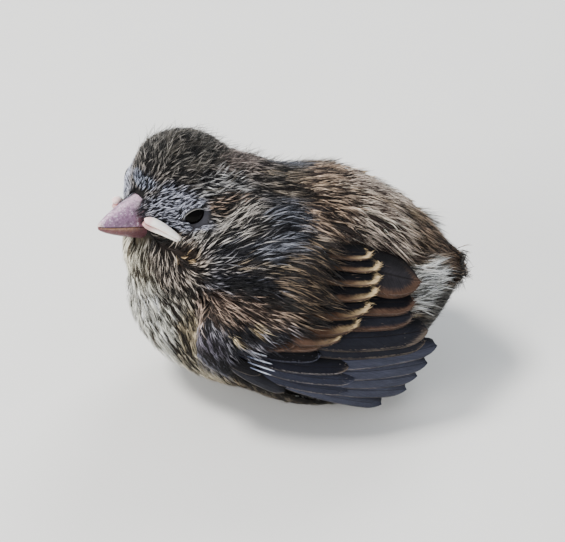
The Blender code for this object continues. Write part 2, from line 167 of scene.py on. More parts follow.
def eye_axes(side):
    """Middle of an eyeball, and the opening's long, short and outward axes.

    The eye looks outwards and a little ahead, and its opening slants up to the rear.
    """
    centre = on_head(EYE_PLACE[0], EYE_PLACE[1] * side * CHEEK_FULLNESS[side], EYE_PLACE[2])
    out = LEFT * side * math.cos(EYE_TURN) + FORWARD * math.sin(EYE_TURN)
    rear = LEFT * side * math.sin(EYE_TURN) - FORWARD * math.cos(EYE_TURN)
    long_way = rear * math.cos(EYE_SLANT) + UP * math.sin(EYE_SLANT)
    short_way = UP * math.cos(EYE_SLANT) - rear * math.sin(EYE_SLANT)
    return centre, long_way, short_way, out


LID_GREY = (56, 56, 62)
LID_REACH = 2.42  # how far the lid runs from the middle of the eye
OPENING_AHEAD = 0.20  # how far the eye's opening lies ahead of the eyeball's middle, along its slant


def pointed(turn):
    """How much an eye's opening narrows at this turn from its rear corner: most at the rear, a little in front."""
    return 1 - 0.34 * np.clip(np.cos(turn), 0, 1) ** 3 - 0.12 * np.clip(-np.cos(turn), 0, 1) ** 5


def mirrored(points):
    """The points as they stand on the left half of the body."""
    return points * np.where(points[..., :1] < 0, (-1, 1, 1), (1, 1, 1))


# ---------------------------------------------------------------- wing sheet


def cubic(curve, s):
    """A Bezier curve's points at shares s."""
    a, b, c, d = np.array(curve)
    s = np.asarray(s)[..., None]
    return a * (1 - s) ** 3 + 3 * b * s * (1 - s) ** 2 + 3 * c * s * s * (1 - s) + d * s**3


def sheet(s, t):
    """The left wing sheet: a parabola at shares t through the three cubics' points at shares s."""
    t = np.asarray(t)[..., None]
    return (
        cubic(WING_LOWER, s) * (1 - t) ** 2 + 2 * cubic(WING_MIDDLE, s) * t * (1 - t) + cubic(WING_UPPER, s) * t * t
    )


def sheet_ways(s, t):
    """How the sheet's point moves with s and with t, and the unit normal, outwards."""
    step = 0.01
    along = (sheet(s + step, t) - sheet(s - step, t)) / (2 * step)
    rise = (sheet(s, t + step) - sheet(s, t - step)) / (2 * step)
    return along, rise, unit(np.cross(along, rise))


SHEET_S, SHEET_T = np.meshgrid(*[np.linspace(0, 1, 61)] * 2, indexing="ij")
SHEET_POINTS = sheet(SHEET_S, SHEET_T).reshape(-1, 3)
BATCH = 2000  # points measured at once, to spare memory


def in_wing(points):
    """Nearest s and t on the wing sheet, and the distance to it."""
    points = mirrored(points)
    s, t, gap = np.zeros(len(points)), np.zeros(len(points)), np.zeros(len(points))
    flat = (SHEET_POINTS**2).sum(-1)
    for start in range(0, len(points), BATCH):
        batch = slice(start, start + BATCH)
        part = points[batch]
        apart = flat - 2 * part @ SHEET_POINTS.T + (part**2).sum(-1)[:, None]
        best = apart.argmin(1)
        s[batch], t[batch] = SHEET_S.ravel()[best], SHEET_T.ravel()[best]
        gap[batch] = np.sqrt(np.maximum(apart[np.arange(len(part)), best], 0))
    return s, t, gap


# ---------------------------------------------------------------- finishes


class Value:
    """A number on a socket: +, - and * on it add Math nodes."""

    def __init__(self, finish, socket):
        self.finish, self.socket = finish, socket

    def _math(self, operation, *values):
        return self.finish.node("ShaderNodeMath", {"operation": operation}, dict(enumerate(values)))

    def __add__(self, other):
        return self._math("ADD", self, other)

    def __sub__(self, other):
        return self._math("SUBTRACT", self, other)

    def __rsub__(self, other):
        return self._math("SUBTRACT", other, self)

    def __mul__(self, other):
        return self._math("MULTIPLY", self, other)

    __radd__, __rmul__ = __add__, __mul__

    def size(self):
        return self._math("ABSOLUTE", self)

    def step(self, low, high):
        """0 below low and 1 above high, smooth between."""
        settings = {"interpolation_type": "SMOOTHSTEP"}
        return self.finish.node("ShaderNodeMapRange", settings, {"Value": self, "From Min": low, "From Max": high})


class Finish:
    """One material: its Principled surface, and the nodes that feed it."""

    def __init__(self, name, **plain):
        self.material = bpy.data.materials.new(name)
        self.material.use_nodes = True
        self.tree = self.material.node_tree
        self.surface = self.tree.nodes["Principled BSDF"]
        for socket, value in plain.items():
            self.surface.inputs[socket.replace("_", " ")].default_value = value

    def node(self, kind, settings=None, inputs=None, output=0):
        made = self.tree.nodes.new(kind)
        for name, value in (settings or {}).items():
            setattr(made, name, value)
        for key, value in (inputs or {}).items():
            self.feed(made.inputs[key], value)
        return Value(self, made.outputs[output])

    def feed(self, socket, value):
        if isinstance(value, Value):
            self.tree.links.new(value.socket, socket)
        elif socket.type == "RGBA" and len(value) == 3:
            socket.default_value = (*value, 1.0)
        else:
            socket.default_value = value

    def mix(self, share, a, b, kind="MIX"):
        settings = {"data_type": "RGBA", "blend_type": kind}
        return self.node("ShaderNodeMix", settings, {0: share, 6: a, 7: b}, output=2)

    def attribute(self, name, output="Color"):
        return self.node("ShaderNodeAttribute", {"attribute_name": name}, output=output)

    def shaded(self, colour, shade):
        """The colour times a grey."""
        return self.mix(1.0, colour, self.vector(shade, shade, shade), "MULTIPLY")

    def parts(self, vector):
        return [self.node("ShaderNodeSeparateXYZ", inputs={0: vector}, output=i) for i in range(3)]

    def vector(self, x, y, z):
        return self.node("ShaderNodeCombineXYZ", inputs={0: x, 1: y, 2: z})

    def place(self):
        return self.node("ShaderNodeTexCoord", output="Object")

    def noise(self, where, scale, detail=2.0, roughness=0.5):
        inputs = {"Vector": where, "Scale": scale, "Detail": detail, "Roughness": roughness}
        return self.node("ShaderNodeTexNoise", inputs=inputs)

    def cells(self, where, scale, feature="F1"):
        return self.node("ShaderNodeTexVoronoi", {"feature": feature}, {"Vector": where, "Scale": scale}, "Distance")

    def wear(self, socket, value):
        self.feed(self.surface.inputs[socket], value)

    def done(self, colour, roughness=None, height=None, strength=0.0, distance=0.0):
        """The material, once its colour, roughness and bump are joined to its surface."""
        self.wear("Base Color", colour)
        if roughness is not None:
            self.wear("Roughness", roughness)
        if height is not None:
            inputs = {"Height": height, "Strength": strength, "Distance": distance}
            self.wear("Normal", self.node("ShaderNodeBump", inputs=inputs, output="Normal"))
        return self.material


def coat_finish():
    """Barbs: the colour painted on each, broken up by fine flecks, duller where flecks are dark."""
    finish = Finish("barbs", Roughness=0.6, Specular_IOR_Level=0.35)
    flecks = finish.noise(finish.place(), 2600.0)
    clouds = finish.noise(finish.place(), 380.0)
    shade = flecks * 0.5 + clouds * 0.4 + 0.56
    return finish.done(finish.shaded(finish.attribute("tint"), shade), 0.72 - flecks * 0.2)


def skin_finish():
    """Skin and the down lying on it: the same markings, darker, partly for the dark down and partly as painted shade in
    the gaps between locks, with streaks and pores.
    """
    finish = Finish("skin", Roughness=0.85, Specular_IOR_Level=0.2)
    place = finish.place()
    streaks = finish.noise(place, 900.0, 4.0, 0.7)
    pores = finish.cells(place, 1400.0)
    colour = finish.shaded(finish.attribute("tint"), streaks * 0.8 + 0.5)
    return finish.done(colour, 0.8 + streaks * 0.15, streaks + pores * 0.5, 0.6, 0.0002)


def vane_finish():
    """Wing and tail feathers: middle, edge and tip colours, a fine rib, barb lines running off the rib, and painted
    shade over the upper half of each vane, which goes under the next feather.

    lie holds (share along, share across from -1 at the lower edge to 1, a number for the feather); rim holds (edge
    width, tip length, how far the edge colour runs back).
    """
    finish = Finish("vane", Roughness=0.5, Specular_IOR_Level=0.07)
    along, across, number = finish.parts(finish.attribute("lie", "Vector"))
    edge_width, tip_length, edge_start = finish.parts(finish.attribute("rim", "Vector"))
    away = across.size()
    run = along * 70.0 - away * 10.0
    barbs = finish.noise(finish.vector(run, away, number * 17.0), 2.2, 4.0, 0.65)
    patches = finish.noise(finish.vector(along * 5.0, across * 2.0, number * 31.0), 1.5, 3.0, 0.6)
    ragged = barbs - 0.5
    low = 0.0 - across
    edge = (low + ragged * 0.45 + (patches - 0.5) * 0.3 - (1.0 - edge_width * 1.5)).step(-0.10, 0.22)
    edge = edge * (along + ragged * 0.2 - edge_start).step(-0.15, 0.25)
    thin = (away + ragged * 0.05 - 0.95).step(0.0, 0.03) * 0.5
    tip = (along + ragged * 0.22 - 1.0 + tip_length * (away * away * 1.5 + 0.55)).step(-0.02, 0.06)
    tip = tip * (low + ragged * 0.3 + tip_length * 4.0).step(-0.3, 0.6)
    rib = 1.0 - away.step(0.015, 0.06)
    near_tip = (along - 0.62).step(0.0, 0.40) * tip_length.step(0.03, 0.10) * 0.75
    edge_colour = finish.mix(near_tip, finish.attribute("edge_tint"), finish.attribute("tip_tint"))
    colour = finish.mix(edge, finish.attribute("tint"), edge_colour)
    colour = finish.mix(thin, colour, edge_colour)
    colour = finish.mix(tip, colour, finish.attribute("tip_tint"))
    colour = finish.mix(rib * 0.6, colour, paint(14, 11, 10))
    # painted shade: the upper half of each vane, which goes under the next feather, is darkened for the shadow there
    painted_shade_under_next = 1.0 - across.step(0.0, 0.75) * 0.75
    shade = (barbs * 1.5 + 0.25) * (patches * 1.1 + 0.45) * painted_shade_under_next
    return finish.done(finish.shaded(colour, shade), 0.62 - barbs * 0.3, barbs + rib * 0.5, 0.6, 0.0002)


def horn_finish(name, pale_fleck_share):
    """Bill: its painted colour with scaly growth lines, and this share of pale flecks."""
    finish = Finish(name, Roughness=0.4, Specular_IOR_Level=0.4)
    place = finish.place()
    flakes = finish.cells(place, 2300.0)
    clouds = finish.noise(place, 2600.0, 5.0, 0.8)
    colour = finish.shaded(finish.attribute("tint"), clouds * 2.4 + flakes * 0.4 - 0.52)
    pale = (finish.noise(place, 1500.0, 5.0, 0.85) - 0.53).step(0.0, 0.10) * pale_fleck_share
    colour = finish.mix(pale, colour, paint(216, 204, 216))
    return finish.done(colour, 0.30 + clouds * 0.3, flakes + clouds, 0.25, 0.00008)


def lip_finish():
    """Gape lips: waxy cream flesh, pinker in the folds, where painted shade also darkens it."""
    finish = Finish("gape_flesh", Roughness=0.42, Subsurface_Weight=0.18, Specular_IOR_Level=0.45)
    finish.surface.inputs["Subsurface Radius"].default_value = (0.0010, 0.0006, 0.0004)
    place = finish.place()
    clouds = finish.noise(place, 800.0, 3.0, 0.6)
    colour = finish.shaded(finish.attribute("tint"), clouds * 0.2 + 0.9)
    colour = finish.mix((clouds - 0.54).step(0.0, 0.2) * 0.15, colour, paint(232, 196, 180))
    return finish.done(colour, 0.36 + clouds * 0.2, clouds, 0.2, 0.0001)


def eye_finish():
    """Eyeball: near-black brown, smooth and wet, barely clouded."""
    finish = Finish("eye_gloss", Roughness=0.10, Specular_IOR_Level=0.05)
    clouds = finish.noise(finish.place(), 1500.0)
    return finish.done(finish.mix(clouds, paint(2, 2, 2), paint(10, 8, 7)))


def leg_finish():
    """Shank and toes: dull pinkish brown plates with darker seams."""
    finish = Finish("leg_scales", Roughness=0.6, Specular_IOR_Level=0.35)
    place = finish.place()
    plates = finish.cells(place, 900.0, "DISTANCE_TO_EDGE")
    seam = plates.step(0.0, 0.12)
    clouds = finish.noise(place, 500.0, 3.0)
    colour = finish.mix(seam, paint(84, 54, 48), paint(158, 116, 106))
    return finish.done(finish.mix(clouds * 0.6, colour, paint(120, 84, 74)), 0.72 - seam * 0.2, seam, 0.5, 0.0001)


def claw_finish():
    """Claws: dark horn, streaked along."""
    finish = Finish("claw_horn", Roughness=0.35, Specular_IOR_Level=0.5)
    streaks = finish.noise(finish.place(), 1200.0, 4.0, 0.7)
    colour = finish.mix(streaks, paint(26, 22, 21), paint(92, 78, 72))
    return finish.done(colour, 0.28 + streaks * 0.25, streaks, 0.2, 0.00005)


# ---------------------------------------------------------------- meshes


def add_mesh(name, points, faces, material, colours=None, vectors=None, uv=None, stands_for=()):
    """A piece from points in millimetres and blocks of faces, riding on the body.

    colours and vectors are named per-point arrays; uv has one row for each point or for each corner.
    """
    mesh = bpy.data.meshes.new(name)
    points = np.asarray(points).reshape(-1, 3)
    corners = np.concatenate([block.ravel() for block in faces])
    sides = np.concatenate([np.full(len(block), block.shape[1]) for block in faces])
    mesh.vertices.add(len(points))
    mesh.vertices.foreach_set("co", (points * MM).astype(np.float32).ravel())
    mesh.loops.add(len(corners))
    mesh.loops.foreach_set("vertex_index", corners.astype(np.int32))
    mesh.polygons.add(len(sides))
    mesh.polygons.foreach_set("loop_start", (np.cumsum(sides) - sides).astype(np.int32))
    mesh.update(calc_edges=True)
    mesh.polygons.foreach_set("use_smooth", np.ones(len(sides), dtype=bool))
    for title, values in (colours or {}).items():
        filled = np.ones((len(points), 4), dtype=np.float32)
        filled[:, :3] = np.clip(values.reshape(-1, 3), 0, 1)
        mesh.attributes.new(title, "FLOAT_COLOR", "POINT").data.foreach_set("color", filled.ravel())
    for title, values in (vectors or {}).items():
        held = mesh.attributes.new(title, "FLOAT_VECTOR", "POINT")
        held.data.foreach_set("vector", values.reshape(-1, 3).astype(np.float32).ravel())
    if uv is not None:
        uv = np.asarray(uv).reshape(-1, 2)
        uv = uv if len(uv) == len(corners) else uv[corners]
        mesh.uv_layers.new(name="OFBake").data.foreach_set("uv", uv.astype(np.float32).ravel())
    mesh.materials.append(material)
    obj = bpy.data.objects.new(name, mesh)
    bpy.context.scene.collection.objects.link(obj)
    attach(obj, "root")
    if stands_for:
        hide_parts(*stands_for)


def band(rows, around, round_rows=False):
    """Quads of a grid of points, row by row, each row closed round, and the last row joined to the first if asked."""
    bands = rows if round_rows else rows - 1
    r, c = (v.ravel() for v in np.meshgrid(np.arange(bands), np.arange(around), indexing="ij"))
    r2, c2 = (r + 1) % rows, (c + 1) % around
    return np.stack((r * around + c, r * around + c2, r2 * around + c2, r2 * around + c), axis=1)


def repeated(block, count, points_each):
    """One shape's faces, over again for each copy."""
    return (block[None] + (np.arange(count) * points_each)[:, None, None]).reshape(-1, block.shape[1])


def tube_faces(rows, around, count=1, flipped=False):
    """Faces of closed tubes of rings: the bands round each and its two end caps, turned over where asked."""
    blocks = band(rows, around), np.stack((np.arange(around)[::-1], np.arange(around) + around * (rows - 1)))
    return [repeated(block[:, ::-1] if flipped else block, count, around * rows) for block in blocks]


def unrolled(blocks, rows, around, count=1, margin=0.02, round_rows=False):
    """The unwrap of tubes' corners: each tube has a strip of its own, unrolled round and along.

    A face across the seam runs on past the strip's end.
    """
    corners = []
    for block in blocks:
        tube, place = np.divmod(block, rows * around)
        row, column = np.divmod(place, around)
        if block.shape[1] == 4:
            column = np.where((column.max(1, keepdims=True) == around - 1) & (column == 0), around, column)
        if round_rows:
            row = np.where((row.max(1, keepdims=True) == rows - 1) & (row == 0), rows, row)
        u = (tube + margin + (1 - 2 * margin) * column / around) / count
        corners.append(np.stack((u, 0.02 + 0.96 * row / (rows if round_rows else rows - 1)), axis=-1).reshape(-1, 2))
    return np.concatenate(corners)


def add_tube(name, points, material, tint, stands_for=()):
    """One closed tube of rings, (rows, around, 3), as a piece."""
    rows, around = points.shape[:2]
    blocks = tube_faces(rows, around)
    add_mesh(
        name, points, blocks, material, {"tint": tint}, uv=unrolled(blocks, rows, around), stands_for=stands_for
    )


RING = np.array(((0.0, 0.8), (1.0, -0.4), (-1.0, -0.4)))  # a spike's three corners: across, out
SPIKE_STATIONS, SPIKE_TAPER = np.array((0.0, 0.5, 1.0)), np.array((1.0, 0.7))  # of a spike that stands by itself
SPIKE_UNWRAP = 0.003 * np.stack((np.tile((0.0, 0.2, -0.2), 3)[:7], np.repeat((-0.5, 0.0, 0.5), 3)[:7]), axis=1)


def spikes(middle, across, out, thick):
    """Three-sided spikes round middle lines (..., stations, 3): three points to a station and one at the tip."""
    ring = across[..., None, :] * RING[:, :1] + out[..., None, :] * RING[:, 1:]
    rim = middle[..., :-1, None, :] + ring * thick[..., None, None]
    return np.concatenate((rim.reshape(*middle.shape[:-2], -1, 3), middle[..., -1:, :]), axis=-2)


def spike_faces(rings, count, flipped=False):
    """Faces of spikes of so many rings: the bands of each, its pointed end and its closed base."""
    last, each = 3 * (rings - 1), 3 * rings + 1
    ends = np.array([(last + i, last + (i + 1) % 3, last + 3) for i in range(3)] + [(0, 2, 1)])
    return [repeated(block[:, ::-1] if flipped else block, count, each) for block in (band(rings, 3), ends)]


# ---------------------------------------------------------------- the bird's form

VOXEL, SMOOTHINGS = 0.8, 6


def melted(nodes):
    """The named solids as one closed form: a voxel remesh smoothed, biggest shell only.

    Returns points in millimetres, triangles and smooth normals.
    """
    joined = bmesh.new()
    for node in nodes:
        joined.from_mesh(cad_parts[node].data)
    bmesh.ops.remove_doubles(joined, verts=joined.verts, dist=1e-6)
    mesh = bpy.data.meshes.new("form")
    joined.to_mesh(mesh)
    joined.free()
    helper = bpy.data.objects.new("form", mesh)
    bpy.context.scene.collection.objects.link(helper)
    melt = helper.modifiers.new("melt", "REMESH")
    melt.mode, melt.voxel_size = "VOXEL", VOXEL * MM
    soften = helper.modifiers.new("soften", "SMOOTH")
    soften.factor, soften.iterations = 0.5, SMOOTHINGS
    baked = bpy.data.meshes.new_from_object(helper.evaluated_get(bpy.context.evaluated_depsgraph_get()))
    bpy.data.objects.remove(helper)
    baked.calc_loop_triangles()
    points, normals = np.zeros(len(baked.vertices) * 3), np.zeros(len(baked.vertices) * 3)
    baked.vertices.foreach_get("co", points)
    baked.vertices.foreach_get("normal", normals)
    triangles = np.zeros(len(baked.loop_triangles) * 3, dtype=np.int64)
    baked.loop_triangles.foreach_get("vertices", triangles)
    points, normals, triangles = points.reshape(-1, 3) / MM, normals.reshape(-1, 3), triangles.reshape(-1, 3)
    shell = np.arange(len(points))
    while True:  # each point takes the lowest number among its neighbours until none changes
        lowest = shell.copy()
        least = shell[triangles].min(1)
        for corner in range(3):
            np.minimum.at(lowest, triangles[:, corner], least)
        lowest = lowest[lowest]
        if (lowest == shell).all():
            break
        shell = lowest
    biggest = np.bincount(shell).argmax()
    kept = np.flatnonzero(shell == biggest)
    renumber = np.full(len(points), -1)
    renumber[kept] = np.arange(len(kept))
    triangles = renumber[triangles[shell[triangles[:, 0]] == biggest]]
    return points[kept], triangles, normals[kept]


class Form:
    """A closed form that points can be brought onto."""

    def __init__(self, points, triangles, normals):
        self.points, self.triangles, self.normals = points, triangles, normals
        self.tree = BVHTree.FromPolygons(points.tolist(), triangles.tolist())

    def nearest(self, points):
        """Nearest places on the form, and its smooth normals there."""
        found = [self.tree.find_nearest(Vector(p)) for p in points]
        places = np.array([f[0] for f in found])
        faces = self.triangles[[f[2] for f in found]]
        near = 1 / (np.linalg.norm(self.points[faces] - places[:, None], axis=-1, keepdims=True) + 0.05)
        return places, unit((self.normals[faces] * near).sum(1))

    def scatter(self, density):
        """Random places on the form, density(points) of them to each square millimetre."""
        a, b, c = (self.points[self.triangles[:, i]] for i in range(3))
        area = np.linalg.norm(np.cross(b - a, c - a), axis=1) / 2
        wanted = area * density((a + b + c) / 3)
        count = np.floor(wanted + rng.random(len(wanted))).astype(int)
        which = np.repeat(np.arange(len(count)), count)
        p, q = rng.random((2, len(which), 1))
        p, q = np.where(p + q > 1, 1 - p, p), np.where(p + q > 1, 1 - q, q)
        return a[which] + (b - a)[which] * p + (c - a)[which] * q


# ---------------------------------------------------------------- markings

PLAIN = {  # all that a marking can set, and its value where no marking lies
    "dark": paint(22, 17, 14),
    "mid": paint(72, 56, 43),
    "pale": paint(178, 158, 128),
    "share": 0.34,  # of locks that are pale strokes
    "length": 5.6,
    "width": 0.34,
    "lift": 0.35,  # of a lock's end off the form
    "depth": 1.1,  # of its root under the form
    "density": 4.2,  # locks to a square millimetre
}
WIDTHS = {name: np.size(value) for name, value in PLAIN.items()}
STARTS = dict(zip(PLAIN, np.cumsum([0, *WIDTHS.values()])))  # where each lies in a row of numbers
HEAD, BODY, WING = "head", "body", "wing"


def tones(dark, mid, pale, share, **sizes):
    return {"dark": paint(*dark), "mid": paint(*mid), "pale": paint(*pale), "share": share, **sizes}


MANTLE = tones((14, 15, 20), (48, 50, 60), (154, 157, 168), 0.34)
COVERT_SPOT = tones((80, 66, 48), (160, 138, 104), (226, 208, 170), 0.6)
SHORT = {"length": 1.5, "width": 0.08, "lift": 0.06, "depth": 0.25, "density": 20}

MARKINGS = (  # frame, centre, half size, what it sets; later ones lie over earlier ones
    (BODY, (0, -30, 18), (22, 17, 18), tones((13, 11, 8), (54, 46, 35), (255, 254, 242), 0.50)),
    (BODY, (0, -30, 18), (22, 17, 18), {"length": 6.4, "width": 0.42, "lift": 0.45}),
    (BODY, (0, 0, 0), (16, 30, 7), tones((70, 66, 56), (140, 134, 116), (214, 208, 192), 0.5)),
    (BODY, (0, 4, 0), (15, 19, 4), {"length": 3.0, "lift": 0.1, "density": 0.8}),
    (BODY, (17, -12.8, 22.5), (2.6, 2.6, 4.5), tones((12, 10, 11), (52, 44, 46), (166, 150, 152), 0.30)),
    (BODY, (17, -12.8, 22.5), (2.6, 2.6, 4.5), {"density": 8.0, "length": 5.2}),
    (BODY, (17, -17, 13), (7, 8, 9), tones((12, 11, 9), (44, 39, 31), (190, 182, 156), 0.26)),
    (BODY, (0, 3, 37), (10, 11, 6), tones((6, 4, 3), (74, 56, 48), (228, 198, 166), 0.42)),
    (BODY, (7, 9, 34), (7, 13, 5.5), tones((10, 7, 6), (94, 76, 68), (244, 226, 208), 0.54)),
    (BODY, (7, 9, 34), (6, 12, 5), {"length": 6.8, "lift": 0.4}),
    (BODY, (0, 25, 27), (10, 9, 8), tones((15, 11, 9), (66, 50, 40), (186, 160, 136), 0.34)),
    (BODY, (0, 27, 25), (10, 8, 9), {"length": 5.0, "lift": 0.7, "depth": 0.6}),
    (BODY, (0, 28, 24), (10, 5.5, 9), tones((14, 10, 8), (58, 42, 33), (172, 144, 118), 0.32)),
    (BODY, (8.7, 18.6, 23.4), (4.2, 4.4, 4.4), tones((70, 70, 66), (176, 174, 166), (255, 255, 252), 0.74)),
    (BODY, (8.5, 20.5, 23.5), (5, 5.5, 4.5), {"length": 6.0, "lift": 0.9}),
    (BODY, (6, 25, 14.6), (14, 9, 6.8), tones((11, 11, 11), (38, 36, 33), (128, 124, 114), 0.22)),
    (BODY, (4, -6, 36), (7, 7, 6), tones((18, 14, 12), (58, 47, 40), (164, 148, 128), 0.32)),
    (BODY, (12, -15, 28), (5, 5.5, 5.5), tones((12, 11, 11), (50, 46, 44), (206, 198, 184), 0.30)),
    (BODY, (12.5, -15.5, 18), (3.5, 4, 7), tones((12, 10, 8), (44, 36, 28), (216, 200, 168), 0.26)),
    (BODY, (11.6, -16.6, 12.5), (3.6, 4.6, 5.0), tones((10, 9, 7), (36, 31, 25), (204, 194, 170), 0.24)),
    # painted shade: dark tones on the low flank under the wing stand for the wing's shadow there; the locks there are
    # short and lie flat
    (BODY, (13, -2, 4.5), (7, 13, 4.2), tones((10, 9, 8), (36, 32, 28), (118, 108, 94), 0.22)),
    (BODY, (13, -2, 4.5), (7, 13, 4.2), {"length": 2.4, "lift": 0.0, "density": 5.5}),
    (WING, (0.15, 0.45), (0.35, 0.5), tones((11, 11, 15), (50, 50, 60), (172, 170, 178), 0.34)),
    (WING, (0.15, 0.45), (0.35, 0.5), {"length": 4.6, "width": 0.3, "lift": 0.2}),
    (WING, (0.04, 0.38), (0.08, 0.17), tones((10, 9, 12), (38, 34, 42), (134, 128, 142), 0.24)),
    (WING, (0.10, 0.22), (0.11, 0.15), tones((6, 6, 9), (25, 25, 31), (112, 112, 124), 0.18, length=3.2, lift=0.1)),
    (WING, (0.14, 0.67), (0.34, 0.08), tones((14, 11, 9), (74, 58, 50), (182, 158, 140), 0.42)),
    (WING, (0.19, 0.79), (0.18, 0.045), tones((5, 6, 11), (12, 13, 22), (44, 44, 56), 0.10)),
    (WING, (0.30, 0.86), (0.28, 0.04), tones((20, 16, 13), (56, 48, 42), (176, 158, 132), 0.34)),
    (WING, (0.52, 0.80), (0.08, 0.20), tones((14, 12, 13), (44, 40, 44), (156, 144, 132), 0.26)),
    (WING, (0.47, 0.80), (0.16, 0.22), tones((9, 7, 7), (40, 32, 28), (142, 122, 100), 0.28)),
    (WING, (0.47, 0.80), (0.16, 0.22), {"length": 6.0, "width": 0.20, "lift": 1.9, "depth": -0.4}),
    (WING, (0.16, 0.545), (0.08, 0.05), tones((5, 6, 11), (14, 14, 22), (60, 56, 60), 0.10)),
    (WING, (0.225, 0.595), (0.028, 0.030), COVERT_SPOT),
    (WING, (0.145, 0.515), (0.028, 0.028), COVERT_SPOT),
    (BODY, (9.6, -8.5, 34.2), (6.4, 9.2, 5.2), MANTLE),
    (BODY, (7.2, -5.0, 35.8), (3.8, 4.5, 3.2), MANTLE),
    (BODY, (6.2, 3.4, 36.2), (4.6, 4.4, 2.8), tones((9, 7, 6), (60, 44, 37), (208, 180, 154), 0.36)),
    (BODY, (8.5, -6, 34.8), (7.0, 9.2, 5.2), {"length": 7.0, "width": 0.26, "lift": 0.5, "density": 4.8}),
    (HEAD, (16, 0, 4.2), (13.2, 13.2, 12.6), tones((9, 8, 8), (36, 33, 33), (170, 162, 154), 0.24)),
    (
        HEAD, (16, 0, 4.2), (12.0, 12.0, 11.0),
        {"length": 2.9, "width": 0.17, "lift": 0.25, "depth": 0.7, "density": 8.5},
    ),
    (HEAD, (20, 0, 9.4), (7.4, 8, 6.6), tones((16, 12, 11), (70, 58, 56), (204, 186, 176), 0.42)),
    (HEAD, (21, 0, 9), (7, 7, 7), {"length": 4.2, "width": 0.20, "lift": 0.5, "density": 7.0}),
    (HEAD, (13, 0, 12), (8, 7, 5.0), tones((6, 6, 6), (24, 23, 23), (156, 150, 142), 0.24)),
    (HEAD, (13, 0, 12), (8, 7, 5.0), {"length": 2.7, "width": 0.13, "lift": 0.7, "density": 12.0}),
    (HEAD, (8, 8, 3.2), (6.5, 6, 4.2), tones((14, 14, 19), (46, 47, 58), (206, 209, 226), 0.30)),
    (HEAD, (8.5, 0, 3.0), (4.0, 9, 5.2), SHORT),
    (HEAD, (11.5, 7, 2.4), (4.4, 4, 4.2), SHORT),
    (HEAD, (8.8, 0, 5.6), (1.8, 3.0, 1.2), tones((7, 7, 10), (38, 42, 54), (206, 214, 236), 0.22)),
    (HEAD, (15.4, 7.5, 7.2), (4.4, 3.5, 2.0), tones((9, 9, 10), (48, 47, 50), (216, 214, 212), 0.38)),
    (HEAD, (15.4, 10, 4.6), (2.4, 4, 1.8), tones((8, 7, 6), (30, 25, 23), (176, 152, 134), 0.16)),
    (HEAD, (16.2, 11.2, 1.4), (2.8, 4, 3.2), tones((10, 9, 9), (52, 49, 48), (222, 214, 204), 0.36)),
    (HEAD, (13.4, 9, -0.6), (2.8, 4, 1.4), tones((8, 7, 7), (34, 31, 31), (214, 208, 200), 0.36)),
    (HEAD, (10.0, 7.5, -4.6), (4.2, 4.6, 3.2), tones((9, 8, 7), (52, 42, 38), (214, 200, 186), 0.34)),
    (HEAD, (10.4, 8.6, -3.0), (1.5, 2.0, 0.9), tones((12, 9, 7), (56, 41, 31), (214, 182, 136), 0.24)),
    (
        HEAD, (11.5, 8.5, -5.6), (5.0, 5.6, 4.4),
        {"length": 2.3, "width": 0.14, "density": 9.5, "lift": 0.10, "depth": 0.5},
    ),
    (HEAD, (8.5, 0, -5.2), (4, 4.5, 3.4), tones((38, 32, 24), (126, 116, 94), (238, 232, 212), 0.56)),
    (HEAD, (8.5, 0, -5.2), (4.0, 4.5, 3.4), {"length": 4.4, "width": 0.24, "density": 6.5, "lift": 0.3}),
    (HEAD, (8.3, 0, 2.0), (1.5, 4.2, 3.6), {"length": 1.3, "lift": 0.10, "depth": -0.04}),
    (HEAD, (13.2, 8, 2.7), (3.1, 3.4, 2.9), {"length": 1.3, "width": 0.08, "lift": 0.20, "depth": 0.10, "density": 24}),
)


def as_row(settings):
    """The settings as one row of numbers, in the order of PLAIN."""
    return np.concatenate([np.atleast_1d(settings[name]) for name in PLAIN]).astype(float)


def field(row, name):
    """The view of one setting in rows of numbers."""
    start, width = STARTS[name], WIDTHS[name]
    return row[..., start : start + width] if width > 1 else row[..., start]


def coat_at(points):
    """The coat's numbers at each point: patches with soft, wavering edges, painted one over another."""
    row = np.tile(as_row(PLAIN), (len(points), 1))
    body, head = mirrored(points), in_head(points)
    head[:, 1] = np.abs(head[:, 1])
    s, t, gap = in_wing(points)
    wing = np.stack((s, t), axis=1)
    waver = 0.16 * ripple(points, 3.4)
    blank = {name: np.full(width, np.nan) for name, width in WIDTHS.items()}
    for place, centre, half, settings in MARKINGS:
        reach = np.sqrt(((({HEAD: head, BODY: body, WING: wing}[place] - centre) / half) ** 2).sum(1)) + waver
        share = 1 - ease(0.78, 1.22, reach)
        if place == WING:
            share = share * (1 - ease(1.5, 3.0, gap))
        wanted = as_row({**blank, **settings})
        sets = ~np.isnan(wanted)
        row[:, sets] = mixed(row[:, sets], wanted[sets], share[:, None])
    streaked(row, points, body)
    return row


THROAT_HEIGHT = 30
BREAST_SLOPE, BREAST_BEND = 0.28, 0.055  # how far back the lie runs to a step down the breast, and its change with it
STRIPE_TURN = 0.078  # radians from one stripe of the breast to the next


